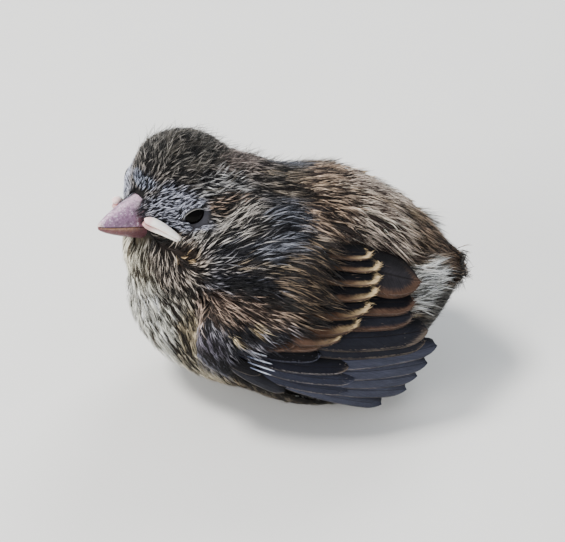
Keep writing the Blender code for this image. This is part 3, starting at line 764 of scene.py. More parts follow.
def streaked(row, points, body):
    """Streaks along the lie: fine ones all over the trunk, and dark brown stripes hanging down the breast."""
    off_head = ease(10.0, 13.0, from_skull(points))
    streak = ripple(points * (1.0, 0.28, 0.7), 2.2, seed=3) * off_head
    share = field(row, "share") * (1 + 0.6 * streak)
    fall = np.clip(THROAT_HEIGHT - points[:, 2], 0, THROAT_HEIGHT)  # how far below the throat
    # how far ahead the place lies where the lie through each point left the throat
    ahead = -(points[:, 1] - BREAST_SLOPE * fall - BREAST_BEND / 2 * fall**2 + 6.0)
    turn = np.arctan2(points[:, 0] + 0.6 * ripple(points, 9.0, seed=5), ahead)
    stripe = ease(-0.1, 0.6, np.sin(turn * 2 * math.pi / STRIPE_TURN + 1.5 * ripple(points, 8.0, seed=4)))
    stripe = stripe * (1 - ease(-17.0, -11.0, body[:, 1])) * (1 - ease(29, 33, points[:, 2]))
    stripe = stripe * ease(4.0, 9.0, points[:, 2]) * 0.9
    dark, mid = field(row, "dark"), field(row, "mid")
    mid *= 1 + 0.6 * np.clip(streak, -1, 1)[:, None]
    dark[:], mid[:] = painted(dark, ((16, 12, 10), stripe)), painted(mid, ((56, 44, 36), stripe))
    field(row, "share")[:] = share * (1 - 0.9 * stripe)


SHOULDER = np.array((13.6, -17.5, 28.6))  # where the shoulder feathers fan out from


def head_lie(points):
    """The way the feathers run on the head: away from the bill, down the throat, and down behind the cheek."""
    back, left, up = in_head(points).T
    low, rear = ease(1.5, -4.5, up)[:, None], ease(11.5, 15.5, back)[:, None]
    out = (np.sign(left) * ease(2.0, 6.0, np.abs(left)))[:, None]
    way = -FORWARD + UP * (0.30 * (1 - low) * (1 - rear)) - UP * (low * 0.7 * (0.3 + rear)) + LEFT * out * 0.15
    throat = (1 - ease(6.5, 10.5, back)) * low[:, 0]
    cheek = np.exp(-(((back - 15.5) / 2.4) ** 2) - ((up - 1.0) / 3.0) ** 2)
    return unit(layered(way, (np.array((0.1, 0.1, -1.0)), throat), (-UP - 0.3 * FORWARD, cheek * 0.9)))


def lie(points):
    """The way the feathers run at each point.

    Back along the body, and out over the top of the wing; down and then back over the breast; fanning out from the
    shoulder over the wing; round towards the tail behind the wing; and parting round each eye.
    """
    side = np.where(points[:, :1] < 0, (-1, 1, 1), (1, 1, 1))
    body = mirrored(points)
    x, y, z = body.T
    away = np.linalg.norm(body - SHOULDER, axis=1)
    fall = np.clip(THROAT_HEIGHT - z, 0, THROAT_HEIGHT)
    down = np.stack((0.02 * x, BREAST_SLOPE + BREAST_BEND * fall, -1.0 + 0 * x), axis=1)
    way = layered(
        np.broadcast_to((0, 1, -0.22), points.shape),
        (unit(body - SHOULDER) * 1.2, ease(4.0, 9.0, x) * (1 - ease(10, 36, away))),
        (unit(down), (1 - ease(-19.0, -14.0, y - 0.25 * (x - 8))) * (1 - ease(30, 34, z))),
        (np.array((0.55, 1.0, -0.55)), ease(1.5, 6.5, x) * ease(-3.0, 6.0, y) * ease(22, 29, z) * 0.85),
        (np.array((-0.9, 0.5, -0.4)), ease(16.0, 20.0, y) * (1 - ease(25, 28, z)) * ease(2, 5, x)),
    )
    way = layered(way * side, (head_lie(points), 1 - ease(9.6, 13.0, from_skull(points))))
    for eye_side, _ in LEFT_AND_RIGHT:
        centre, _, _, out_way = eye_axes(eye_side)
        from_eye = points - centre
        near = np.exp(-((np.linalg.norm(from_eye, axis=1) / 3.2) ** 6))[:, None]
        from_eye = unit(from_eye - dot(from_eye, out_way)[:, None] * out_way)
        inward = np.minimum(dot(from_eye, unit(way)), 0)[:, None]
        way = way - from_eye * inward * near * 1.15
    return unit(way)


# ---------------------------------------------------------------- unwrap of the skin

NECK_CUT, NECK_WAY = np.array((0.5, -13.0, 28.5)), unit(np.array((0.08, -0.42, 0.90)))
HEAD_MIDDLE = HEAD_CENTRE - FORWARD * 1.0


def unwrapped(points, about=None):
    """Where points lie on the flattened skin: trunk and head are each opened like a map round their own long axis.

    about gives the middle of the face that each point belongs to, so that a face stays whole at a seam.
    """
    about = points if about is None else about
    upper = dot(about - NECK_CUT, NECK_WAY) > 0

    def spun(axis_x, axis_y, ref_x, ref_y):
        turn, middle = np.arctan2(axis_x, axis_y), np.arctan2(ref_x, ref_y)
        return (middle + (turn - middle + math.pi) % (2 * math.pi) - math.pi) / (2 * math.pi) + 0.5

    trunk = spun(points[:, 0], points[:, 2] - 17, about[:, 0], about[:, 2] - 17)
    trunk_v = 0.03 + 0.54 * (points[:, 1] + 28) / 58
    q, r = points - HEAD_MIDDLE, about - HEAD_MIDDLE
    head = spun(q @ LEFT, q @ UP, r @ LEFT, r @ UP)
    head_v = 0.63 + 0.33 * np.arccos(np.clip(-dot(unit(q), FORWARD), -1, 1)) / math.pi
    u = np.where(upper, head, trunk) * 0.94 + 0.03
    return np.stack((np.clip(u, 0.002, 0.998), np.clip(np.where(upper, head_v, trunk_v), 0.002, 0.998)), axis=1)


# ---------------------------------------------------------------- skin and coat

SHAFT_STEPS = 5  # along the path of a lock


def shafts(form, roots, lengths, stray):
    """Paths over the form from each root along the lie, as points and normals, (locks, steps, 3).

    Near the end of the rump and of the wing's flesh a path runs on freely, the way it set out.
    """
    places, normals = np.zeros((2, len(roots), SHAFT_STEPS, 3))
    spot = roots
    bent = rng.normal(0, stray, (len(roots), 1))
    s, t, gap = in_wing(roots)
    loose = ease(0.36, 0.46, s) * ease(0.50, 0.58, t) * (gap < 3.0)
    loose = np.maximum(loose, 0.85 * ease(22.0, 27.0, roots[:, 1]))[:, None]
    for k in range(SHAFT_STEPS):
        on, out = form.nearest(spot)
        spot = mixed(on, spot, loose)
        first = out if k == 0 else first
        out = unit(mixed(out, first, loose))
        places[:, k], normals[:, k] = spot, out
        way = lie(spot)
        way = unit(way - out * dot(way, out)[:, None])
        way = unit(way + np.cross(out, way) * (bent + 0.05 * k * np.sign(bent)))
        spot = spot + way * (lengths / (SHAFT_STEPS - 1))[:, None]
    return places, normals


def along_shaft(values, share):
    """values (locks, steps, 3) at shares (locks, barbs, stations) of each path, straight between steps."""
    steps = values.shape[1]
    at = np.clip(share, 0, 0.9999) * (steps - 1)
    low = at.astype(int)
    lock = np.arange(len(values))[:, None, None]
    return mixed(values[lock, low], values[lock, low + 1], (at - low)[..., None])


# Two kinds of lock: the last start of a barb along it, how much longer a barb is, its drift, its height above the
# lock's own, and where its dark root ends.
UNDER, STROKE = (0.40, 0.0, 1.0, -0.06, 0.55), (0.16, 0.14, 0.4, 0.16, 0.35)


def combed(form, roots, row, barbs, rings, radius, stray, fray=1.0, stroke=None):
    """Locks of so many barbs, of so many rings each: points (locks, barbs, points of a barb, 3), colours and unwrap.

    A barb starts part of the way along its lock and runs beside the lock's shaft; the barbs draw together towards
    the end. A lock starts at the skin's depth and rises to its lift. With a stroke, which is half a lock's width,
    the locks are narrow lines of the pale tone that lie on top.
    """
    count, over = len(roots), stroke is not None
    last_start, longer, drifting, above, root_end = STROKE if over else UNDER
    length = field(row, "length") * rng.uniform(0.70, 1.25, count)
    places, normals = shafts(form, roots, length, stray)
    forward = unit(np.gradient(places, axis=1))
    across = unit(np.cross(forward, normals))
    start = rng.uniform(0.0, last_start, (count, barbs, 1))
    end = np.clip(start + rng.uniform(0.5, 0.70, (count, barbs, 1)) + longer, 0, 1)
    stations = np.linspace(0, 1, rings + 1) ** 0.9
    share = mixed(start, end, stations)
    side = np.linspace(-1, 1, barbs)[None, :, None] + rng.normal(0, 0.30, (count, barbs, 1))
    spread = (0.45 + 0.55 * ease(0, 0.35, share)) * (1 - (0.62 - 0.3 * fray) * ease(0.45, 1.0, share))
    drift = rng.normal(0, 0.045 * fray, (count, barbs, 1)) * stations**2 * length[:, None, None]
    half = stroke * rng.uniform(0.6, 1.4, count) if over else field(row, "width")
    off = side * spread * half[:, None, None] + drift * drifting
    depth, lift = field(row, "depth")[:, None, None], field(row, "lift")[:, None, None]
    high = -depth * (1 - ease(-0.1, 0.5, share)) + lift * share**1.4
    high = high + above + 0.20 * rng.random((count, 1 if over else barbs, 1)) * share
    high = high - 0.08 * side**2
    high = high + rng.normal(0, 0.035 * fray, (count, barbs, 1)) * stations**2 * length[:, None, None]
    p, n, a = (along_shaft(v, share) for v in (places, normals, across))
    middle = p + a * off[..., None] + n * high[..., None]
    thick = radius * rng.uniform(0.7, 1.35, (count, barbs, 1)) * (1 - 0.5 * stations[:-1] ** 2)
    points = spikes(middle, a[:, :, :-1], n[:, :, :-1], thick)
    points[..., 2] = np.maximum(points[..., 2], BARB_FLOOR)

    dark, mid, bright = field(row, "dark"), field(row, "mid"), field(row, "pale")
    other = rng.random((count, barbs, 1))
    if over:
        tone = mixed(mid, bright, rng.uniform(0.45, 1.25, (count, 1)))[:, None] * (0.85 + 0.3 * other)
    else:
        tone = mixed(dark, mid, rng.random((count, 1)) ** 1.2)[:, None] * rng.uniform(0.5, 1.35, (count, barbs, 1))
        tone = np.where(other < 0.14, mid[:, None] * 0.7, np.where(other > 0.93, bright[:, None] * 0.55, tone))
    fade = np.concatenate((np.repeat(stations[:-1], 3), [1.0]))[:, None]
    colours = mixed(dark[:, None, None] * 0.5, tone[:, :, None], ease(-0.15, root_end, fade))

    patch = unwrapped(roots)[:, None, None]
    u = side[..., None, :] / 6 + np.tile((0.0, 0.05, -0.05), rings + 1)[: rings * 3 + 1, None]
    v = np.repeat(share, 3, axis=2)[:, :, : rings * 3 + 1, None] - 0.5
    local = np.concatenate((np.broadcast_to(u, v.shape), v), axis=-1)
    return points, colours, patch + np.clip(local, -0.5, 0.5) * 0.003


def horn_end(left, upper=True):
    """How far back the bill's horn shows: further on the ridge than at the sides, and further below."""
    return np.where(upper, 6.7 + 2.5 * hump(left, 0, 1.2), 8.6)


LEG_PATCH = 9.5, -10, 17, 3.0  # half width, front, rear and top of the bare belly round the folded legs


def bare(points):
    """True where no feather grows: on the eyes, the bill and the gape lips, the folded legs and the bare wing."""
    head = in_head(points)
    none = np.zeros(len(points), dtype=bool)
    for side, _ in LEFT_AND_RIGHT:
        centre, long_way, short_way, out = eye_axes(side)
        look = unit(out + 0.62 * FORWARD + 0.46 * UP)  # the feathers round an eye open ahead and upwards
        q = points - centre
        q = q - look * (np.maximum(q @ out - 2.3, 0) / (look @ out))[:, None]
        x = (q @ long_way + OPENING_AHEAD) / (EYE_OPENING[0] + 0.10)
        y = q @ short_way / (EYE_OPENING[1] + 0.08)
        none |= (x**2 + (y / pointed(np.arctan2(y, x))) ** 2 < 1) & (q @ out > 0)
    head[:, 1] = np.abs(head[:, 1]) / np.where(head[:, 1] < 0, CHEEK_FULLNESS[-1], CHEEK_FULLNESS[1])
    for centre in lip_path(np.linspace(0, 0.9, 12)):
        none |= np.linalg.norm(head - centre, axis=1) < 0.9
    back = np.clip(head[:, 0], 0.01, BILL_LENGTH)
    top, low = ridge_height(back), -GAPE_SLOPE * back - chin_depth(back)
    near = (head[:, 1] / (bill_width(back) + 0.7)) ** 2 + ((2 * head[:, 2] - top - low) / (top - low + 1.4)) ** 2 < 1
    none |= near & (head[:, 0] < horn_end(head[:, 1], head[:, 2] > 0))
    half_width, front, rear, top = LEG_PATCH
    x, y, z = points.T
    none |= (np.abs(x) < half_width) & (y > front) & (y < rear) & (z < top)
    s, t, gap = in_wing(points)
    lower = (s > 0.10 + 0.12 * t) & (t < 0.45)
    middle = (s > 0.22 + 1.3 * (t - 0.45)) & (t >= 0.45) & (t < 0.60)
    ragged = 0.06 * ripple(points, 3.0, 8) + 0.10 * ripple(points, 0.9, 9)
    start = 0.415 + 0.085 * ease(0.62, 0.76, t) + 0.14 * ease(0.78, 0.95, t)  # the coverts' roots
    upper = (s > start + ragged) & (s < 0.93) & (t >= 0.6) & (t < 0.97)
    on_wing = (gap < 3.2 - 2.2 * ease(0.62, 0.86, s) * ease(0.5, 0.62, t)) & (np.abs(x) > 5)
    return none | on_wing & (lower | middle | upper)


def lip_path(t):
    """Back, out and up of the gape lip's middle line: the parabola through its three places."""
    start, middle, end = (np.array(p) for p in (LIP_START, LIP_MIDDLE, LIP_END))
    bend = middle * 2 - (start + end) / 2
    t = np.asarray(t)[..., None]
    return start * (1 - t) ** 2 + 2 * bend * t * (1 - t) + end * t * t


FLESH = ("trunk", "neck", "head", "wing_left", "wing_right")
BARB_POINTS, BARB_TRIANGLES = 7, 10  # in a spike of two rings
BARB_LIMIT = 19000  # barbs in one piece of the coat
LEAST_COAT, SKIN_BELOW = 0.3, 0.12  # the skin lies a little under the locks' roots
SKULL_REACH = 10.8  # of the head's coat from the middle of the head
FACE_END, CROWN_START = 14.0, 7.5  # back and up from the bill's tip
BREAST_END, RUMP_START, BACK_HEIGHT = -13, 15, 33.0  # along Y, along Y, and up
NECK_END, NECK_HEIGHT, NECK_APART = -10, 25, 6.5  # along Y, up, and out from the middle


def skin(form, material):
    """One skin inside the feathers: the form drawn in by the coat's depth, with the coat's markings darkened, partly
    for the dark down and partly as painted shade seen through the gaps between locks.
    """
    row = coat_at(form.points)
    depth = np.maximum(field(row, "depth"), LEAST_COAT)[:, None] + SKIN_BELOW
    points = form.points - form.normals * depth
    ahead = np.maximum(6.6 - in_head(points)[:, :1], 0)
    points = points - FORWARD * np.where(dot(points - NECK_CUT, NECK_WAY)[:, None] > 2, ahead, 0)
    points[:, 2] = np.maximum(points[:, 2], SKIN_FLOOR)
    # darker than the coat: partly the dark down at the feathers' bases, partly painted shade for the gaps between the
    # locks
    tint = mixed(field(row, "dark") * 0.6, field(row, "mid") * 0.5, 0.4)
    for side, _ in LEFT_AND_RIGHT:  # paler round the eyes, where no feather covers it
        near = 1 - ease(3.2, 4.2, np.linalg.norm(form.points - eye_axes(side)[0], axis=1))
        tint = painted(tint, (LID_GREY, near))
    middles = np.repeat(form.points[form.triangles].mean(1), 3, axis=0)
    uv = unwrapped(form.points[form.triangles].reshape(-1, 3), middles)
    add_mesh("skin", points, [form.triangles], material, {"tint": tint}, uv=uv, stands_for=FLESH)


def coat(form, material):
    """Every lock of the coat, in pieces of one part of the body each."""
    roots = form.scatter(lambda p: field(coat_at(p), "density"))
    roots = roots[~bare(roots)]
    row = coat_at(roots)
    back, _, up = in_head(roots).T
    x, y, z = roots.T
    skull = from_skull(roots) < SKULL_REACH
    neck = ~skull & (y < NECK_END) & (z > NECK_HEIGHT) & (np.abs(x) > NECK_APART)
    trunk = ~skull & ~neck
    flank = trunk & (y >= BREAST_END) & (y < RUMP_START) & (z <= BACK_HEIGHT)
    over = rng.random(len(roots)) < field(row, "share")
    parts = {  # where, barbs in an under lock and in a stroke, radius of a barb, half a stroke's width, stray
        "face": (skull & (back < FACE_END) & (up < CROWN_START), 3, 2, 0.026, 0.035, 0.12),
        "crown": (skull & (up >= CROWN_START), 4, 2, 0.030, 0.04, 0.45),
        "cheeks": (skull & (back >= FACE_END) & (up < CROWN_START), 4, 2, 0.030, 0.035, 0.18),
        "neck": (neck, 4, 2, 0.034, 0.04, 0.14),
        "breast": (trunk & (y < BREAST_END), 7, 5, 0.056, 0.17, 0.12),
        "back": (trunk & (y >= BREAST_END) & (z > BACK_HEIGHT), 5, 2, 0.044, 0.04, 0.09),
        "rump": (trunk & (y >= RUMP_START) & (z <= BACK_HEIGHT), 5, 2, 0.044, 0.045, 0.12),
        **{f"side_{label}": (flank & (x * side > 0), 5, 2, 0.042, 0.04, 0.10) for side, label in LEFT_AND_RIGHT},
    }
    total = 0
    for name, (inside, barbs, strokes, radius, stroke, stray) in parts.items():
        chosen = np.flatnonzero(inside)
        pieces = max(1, math.ceil(np.where(over[chosen], strokes, barbs).sum() / BARB_LIMIT))
        for number in range(pieces):
            group = chosen[number::pieces]
            under, top = group[~over[group]], group[over[group]]
            blocks = (
                combed(form, roots[under], row[under], barbs, 2, radius, stray),
                combed(form, roots[top], row[top], strokes, 2, radius, stray, stroke=stroke),
            )
            points, colours, uv = (
                np.concatenate([block.reshape(-1, BARB_POINTS, block.shape[-1]) for block in kind])
                for kind in zip(*blocks)
            )
            slot = "head_plumage" if name in ("face", "crown", "cheeks", "neck") else "plumage"
            label = f"coat_{name}" if pieces == 1 else f"coat_{name}_{number + 1}"
            add_mesh(label, points, spike_faces(2, len(points)), material, {"tint": colours}, uv=uv)
            total += len(points) * BARB_TRIANGLES
    print("coat", total, "triangles", len(roots), "locks")


def wisps(form, material):
    """Long sparse down still standing from the crown, the nape and the back."""
    roots = form.scatter(lambda p: 0.8 * ease(-14, 8, -np.abs(in_head(p)[:, 1])) * (p[:, 2] > 32))
    roots = roots[~bare(roots)]
    back, _, up = in_head(roots).T
    roots = roots[(back > 9.5) & (up > 6.5) | (back > 19)]
    row = coat_at(roots)
    down = tones((44, 40, 36), (96, 90, 80), (176, 168, 156), 0.0, length=4.6, lift=2.0, width=0.4, depth=0.3)
    for name, value in down.items():
        field(row, name)[:] = value
    points, colours, uv = combed(form, roots, row, 4, 3, 0.026, 0.5, fray=2.6)
    add_mesh("down_wisps", points, spike_faces(3, len(roots) * 4), material, {"tint": colours}, uv=uv)


# ---------------------------------------------------------------- wing and tail feathers

SLATE, BLACK, DUSK, UMBER = (55, 57, 70), (7, 7, 12), (26, 27, 34), (44, 31, 24)
PALE, TAN, RUFOUS, BUFF = (116, 110, 110), (88, 78, 70), (74, 56, 46), (188, 165, 126)

# The rows of feathers. Each feather: root (s, t), tip (s, t), half width, lift, tilt, colours of its middle, edge and
# tip, edge width, tip length, and where the edge's colour starts.
VANES = {
    "primary": (
        ((0.20, 0.28), (0.895, 0.030), 1.5, 0.02, 0.34, SLATE, PALE, SLATE, 0.05, 0.02, 0.2),
        ((0.20, 0.31), (0.970, 0.135), 1.75, 0.10, 0.40, SLATE, PALE, SLATE, 0.05, 0.02, 0.2),
        ((0.20, 0.34), (0.980, 0.235), 1.8, 0.18, 0.42, SLATE, PALE, SLATE, 0.05, 0.02, 0.2),
        ((0.20, 0.37), (1.0, 0.32), 1.75, 0.26, 0.42, SLATE, PALE, SLATE, 0.05, 0.02, 0.2),
        ((0.20, 0.40), (1.02, 0.43), 1.75, 0.34, 0.42, SLATE, PALE, SLATE, 0.05, 0.02, 0.2),
    ),
    "secondary": (
        ((0.35, 0.50), (0.965, 0.475), 1.8, 0.40, 0.36, DUSK, TAN, TAN, 0.08, 0.03, 0.3),
        ((0.35, 0.56), (0.975, 0.545), 2.4, 0.48, 0.36, DUSK, TAN, TAN, 0.08, 0.09, 0.3),
    ),
    "tertial": (
        ((0.45, 0.66), (0.915, 0.645), 2.1, 0.56, 0.34, DUSK, RUFOUS, TAN, 0.26, 0.05, 0.3),
        ((0.45, 0.75), (0.930, 0.715), 2.1, 0.64, 0.34, BLACK, RUFOUS, RUFOUS, 0.38, 0.08, 0.4),
        ((0.52, 0.94), (0.980, 0.825), 3.5, 0.72, 0.34, (36, 34, 37), RUFOUS, RUFOUS, 0.28, 0.17, 0.3),
    ),
    "primary_covert": (
        ((0.17, 0.29), (0.68, 0.195), 1.4, 0.55, 0.30, (36, 38, 50), PALE, SLATE, 0.05, 0.05, 0.2),
        ((0.17, 0.34), (0.695, 0.285), 1.45, 0.63, 0.30, (36, 38, 50), PALE, SLATE, 0.05, 0.05, 0.2),
        ((0.17, 0.39), (0.66, 0.375), 1.5, 0.71, 0.30, (16, 17, 26), PALE, TAN, 0.05, 0.05, 0.2),
        ((0.18, 0.44), (0.54, 0.445), 1.3, 0.79, 0.26, BLACK, SLATE, SLATE, 0.08, 0.03, 0.2),
    ),
    "alula": (
        ((0.10, 0.33), (0.31, 0.265), 1.2, 0.86, 0.22, BLACK, TAN, TAN, 0.08, 0.03, 0.3),
        ((0.10, 0.30), (0.42, 0.135), 1.35, 0.80, 0.26, DUSK, PALE, TAN, 0.07, 0.03, 0.2),
    ),
    "greater_covert": (
        ((0.16, 0.49), (0.43, 0.510), 1.4, 0.80, 0.3, UMBER, RUFOUS, TAN, 0.2, 0.03, 0.4),
        ((0.22, 0.52), (0.55, 0.530), 1.7, 0.86, 0.3, UMBER, RUFOUS, TAN, 0.3, 0.04, 0.3),
        ((0.28, 0.57), (0.615, 0.565), 1.9, 0.92, 0.3, UMBER, RUFOUS, BUFF, 0.42, 0.06, 0.3),
        ((0.32, 0.63), (0.685, 0.635), 2.2, 1.00, 0.36, BLACK, (62, 44, 34), BUFF, 0.46, 0.07, 0.15),
        ((0.35, 0.71), (0.735, 0.715), 2.2, 1.08, 0.38, BLACK, (66, 48, 37), BUFF, 0.40, 0.09, 0.15),
        ((0.40, 0.79), (0.770, 0.785), 1.9, 1.16, 0.36, BLACK, (72, 54, 42), BUFF, 0.36, 0.11, 0.15),
        ((0.43, 0.86), (0.790, 0.840), 1.7, 1.24, 0.34, BLACK, (78, 60, 47), BUFF, 0.36, 0.12, 0.15),
        ((0.46, 0.95), (0.765, 0.938), 1.3, 1.34, 0.30, BLACK, (78, 60, 47), BUFF, 0.36, 0.11, 0.15),
        ((0.46, 0.92), (0.800, 0.895), 1.6, 1.32, 0.32, BLACK, (78, 60, 47), BUFF, 0.34, 0.11, 0.15),
    ),
}
VANE_ROWS, VANE_COLUMNS = 22, 11
VANE_AROUND = 2 * VANE_COLUMNS - 2
VANE_CROWDING = 1.5  # how much closer the rows stand towards the tip
VANE_ACROSS = np.concatenate((np.linspace(-1, 1, VANE_COLUMNS), np.linspace(-1, 1, VANE_COLUMNS)[-2:0:-1]))
VANE_FACE = np.where(np.arange(VANE_AROUND) < VANE_COLUMNS, 1.0, -1.0)


def vane_points(feathers):
    """Closed thin blades on the left wing sheet, (feathers, rows, around, 3), with their shares along and across.

    The middle line runs straight from root to tip in the sheet's shares; the blade is as wide as a stem that swells
    and ends in a half circle. Its outer face is arched, its lower edge rides over the feather below and its upper
    edge goes under the next, by the tilt.
    """
    root, tip, half_width, lift, tilt = (np.array([f[i] for f in feathers], dtype=float) for i in range(5))
    a = 1 - (1 - np.linspace(0, 1, VANE_ROWS)) ** VANE_CROWDING
    line = root[:, None] + (tip - root)[:, None] * a[:, None]
    s, t = line[..., 0], line[..., 1] - 0.012 * np.sin(math.pi * a)
    ds, dt, out = sheet_ways(s, t)
    forward = unit(np.gradient(sheet(s, t), axis=1))
    sideways = np.cross(out, forward)  # towards the wing's upper edge
    length = np.linalg.norm(sheet(tip[:, 0], tip[:, 1]) - sheet(root[:, 0], root[:, 1]), axis=1)[:, None]
    blunt = np.clip(1 - half_width[:, None] * 1.7 / length, 0, 1)
    taper = np.clip(1 - np.clip((a - blunt) / (1 - blunt), 0, 0.9995) ** 2.2, 0, 1) ** 0.55
    wide = half_width[:, None] * (0.45 + 0.55 * ease(0, 0.4, a)) * taper
    off = wide[..., None] * VANE_ACROSS
    e, f, g = dot(ds, ds), dot(ds, dt), dot(dt, dt)
    p, q = dot(sideways, ds), dot(sideways, dt)
    det = e * g - f * f
    move_s, move_t = (p * g - q * f) / det, (q * e - p * f) / det
    s, t = s[..., None] + off * move_s[..., None], t[..., None] + off * move_t[..., None]
    rib = np.exp(-((VANE_ACROSS * wide[..., None] / 0.16) ** 2)) * 0.04
    arch = 0.20 * (1 - VANE_ACROSS**2) * half_width[:, None, None] / 2
    thick = (0.012 + 0.04 * (1 - VANE_ACROSS**2) + rib) * VANE_FACE
    level = lift[:, None, None] * (0.15 + 0.85 * ease(0.0, 0.6, a))[:, None] - 0.25
    high = level + arch - tilt[:, None, None] * VANE_ACROSS + thick
    points = sheet(s, t) + sheet_ways(s, t)[2] * high[..., None]
    number = np.arange(len(feathers))[:, None, None] * 1.0
    return points, np.stack(np.broadcast_arrays(a[None, :, None], VANE_ACROSS, number), axis=-1)


def add_vanes(name, points, shares, tints, rim, material, flipped, stands_for=()):
    """A row of feathers as one piece: each one's middle, edge and tip tints, and its rim."""
    count = len(points)

    def on_each(values):
        return np.broadcast_to(values[:, None, None], points.shape)

    blocks = tube_faces(VANE_ROWS, VANE_AROUND, count, flipped)
    uv = unrolled(blocks, VANE_ROWS, VANE_AROUND, count, margin=0.06)
    colours = dict(zip(("tint", "edge_tint", "tip_tint"), map(on_each, tints)))
    vectors = {"lie": shares, "rim": on_each(rim)}
    add_mesh(name, points, blocks, material, colours, vectors, uv, stands_for)


def tints_of(feathers):
    """The middle, edge and tip tints of feathers."""
    return [np.array([paint(*f[column]) for f in feathers]) for column in (5, 6, 7)]


FRINGE_BARBS = 90  # along each feather
FRINGES = {"secondary": 0.35, "tertial": 1.0, "primary_covert": 0.35, "greater_covert": 1.0}  # and how long theirs is


def fringe(side, label, material):
    """Loose barbs along the lower edge and round the tip of every covert and tertial, in the colour of that edge."""
    feathers = [f for kind in FRINGES for f in VANES[kind]]
    blade, _ = vane_points(feathers)
    soft = np.array([softness for kind, softness in FRINGES.items() for _ in VANES[kind]])[:, None]
    share = 0.30 + 0.70 * np.sqrt(rng.random((len(feathers), FRINGE_BARBS)))
    tip_zone = ease(0.90, 1.0, share)
    across = np.where(rng.random(share.shape) < 0.05 + 0.6 * tip_zone, rng.uniform(-0.9, 0.9, share.shape), -0.8)
    row_at = np.minimum((1 - (1 - share) ** (1 / VANE_CROWDING)) * (VANE_ROWS - 1), VANE_ROWS - 1.001)
    column_at = (across + 1) / 2 * (VANE_COLUMNS - 1)

    def on_blade(r, c):
        r, c = np.clip(r, 0, VANE_ROWS - 1.001), np.clip(c, 0, VANE_COLUMNS - 1.001)
        i, j, k = np.arange(len(feathers))[:, None], r.astype(int), c.astype(int)
        fr, fc = (r - j)[..., None], (c - k)[..., None]
        first = mixed(blade[i, j, k], blade[i, j, k + 1], fc)
        return mixed(first, mixed(blade[i, j + 1, k], blade[i, j + 1, k + 1], fc), fr)

    base = on_blade(row_at, column_at)
    forward = unit(on_blade(row_at + 0.4, column_at) - on_blade(row_at - 0.8, column_at))
    sideways = unit(base - on_blade(row_at, column_at + 0.8))
    out = unit(np.cross(forward, -sideways))
    out = out * np.sign(dot(out, base - (0, 0, 18)))[..., None]
    lean = np.where(across < -0.7, 0.34, 0.10 * rng.normal(size=across.shape))[..., None]
    way = unit(forward + sideways * lean + out * 0.03)
    reach = (rng.uniform(0.5, 1.25, share.shape) * soft)[..., None]
    middle = base[:, :, None] + way[:, :, None] * (reach[:, :, None] * SPIKE_STATIONS[:, None]) + out[:, :, None] * 0.03
    points = spikes(middle, sideways[:, :, None], out[:, :, None], 0.045 * SPIKE_TAPER) * (side, 1, 1)
    points[..., 2] = np.maximum(points[..., 2], VANE_FLOOR)
    inner, edge, end = (tints[:, None] for tints in tints_of(feathers))
    in_tip = share - (1 - np.array([f[9] for f in feathers])[:, None])
    colour = mixed(edge, end, ease(-0.02, 0.03, in_tip)[..., None])
    colour = np.where(((across > -0.7) & (in_tip < 0))[..., None], mixed(inner, edge, 0.5), colour)
    colour = colour * rng.uniform(0.6, 1.3, (*share.shape, 1))
    uv = unwrapped(base.reshape(-1, 3) * (side, 1, 1)).reshape(*share.shape, 1, 2) + SPIKE_UNWRAP
    tint = np.broadcast_to(colour[:, :, None], points.shape)
    faces = spike_faces(2, share.size, flipped=side < 0)
    add_mesh(f"fringe_{label}", points, faces, material, {"tint": tint}, uv=uv)


SHEATHS = (  # root (s, t), end (s, t): waxy sheaths that the growing feathers are still leaving
    ((0.228, 0.425), (0.325, 0.408)),
    ((0.242, 0.384), (0.350, 0.360)),
    ((0.250, 0.342), (0.365, 0.311)),
    ((0.262, 0.304), (0.352, 0.274)),
    ((0.520, 0.555), (0.575, 0.552)),
)


def sheaths(material):
    """Tapered closed tubes on the wing sheet: four by the primary coverts' roots, and one behind them."""
    share = np.linspace(0, 1, 14)
    size = 0.125 * np.sin(math.pi * (0.08 + 0.90 * share)) ** 0.5
    turn = np.linspace(0, 2 * math.pi, 10, endpoint=False)[None, :, None]
    tint = mixed(paint(96, 104, 128), paint(200, 207, 222), ease(0.1, 0.8, share)[:, None, None])
    for side, label in LEFT_AND_RIGHT:
        for number, (root, end) in enumerate(SHEATHS, 1):
            s, t = (mixed(root[i], end[i], share) for i in range(2))
            out = sheet_ways(s, t)[2]
            path = sheet(s, t) + out * (1.02 - 0.12 * share)[:, None]
            sideways = np.cross(out, unit(np.gradient(path, axis=0)))
            ring = sideways[:, None] * np.cos(turn) + out[:, None] * np.sin(turn) * 0.7
            ring = ((path[:, None] + ring * size[:, None, None]) * (side, 1, 1))[:, ::side]
            add_tube(f"sheath_{label}_{number}", ring, material, np.broadcast_to(tint, ring.shape))


def wings(material, barbs_material):
    """The feathers of each wing, a piece to a row of them, and the fringe on them."""
    solids = {"primary": "primaries", "secondary": "secondaries"}
    for side, label in LEFT_AND_RIGHT:
        for kind, feathers in VANES.items():
            points, shares = vane_points(feathers)
            points = points * (side, 1, 1)
            points[..., 2] = np.maximum(points[..., 2], VANE_FLOOR)
            rim = np.array([f[8:] for f in feathers])
            stands_for = (f"{solids[kind]}_{label}",) if kind in solids else ()
            add_vanes(f"{kind}_{label}", points, shares, tints_of(feathers), rim, material, side < 0, stands_for)
        fringe(side, label, barbs_material)


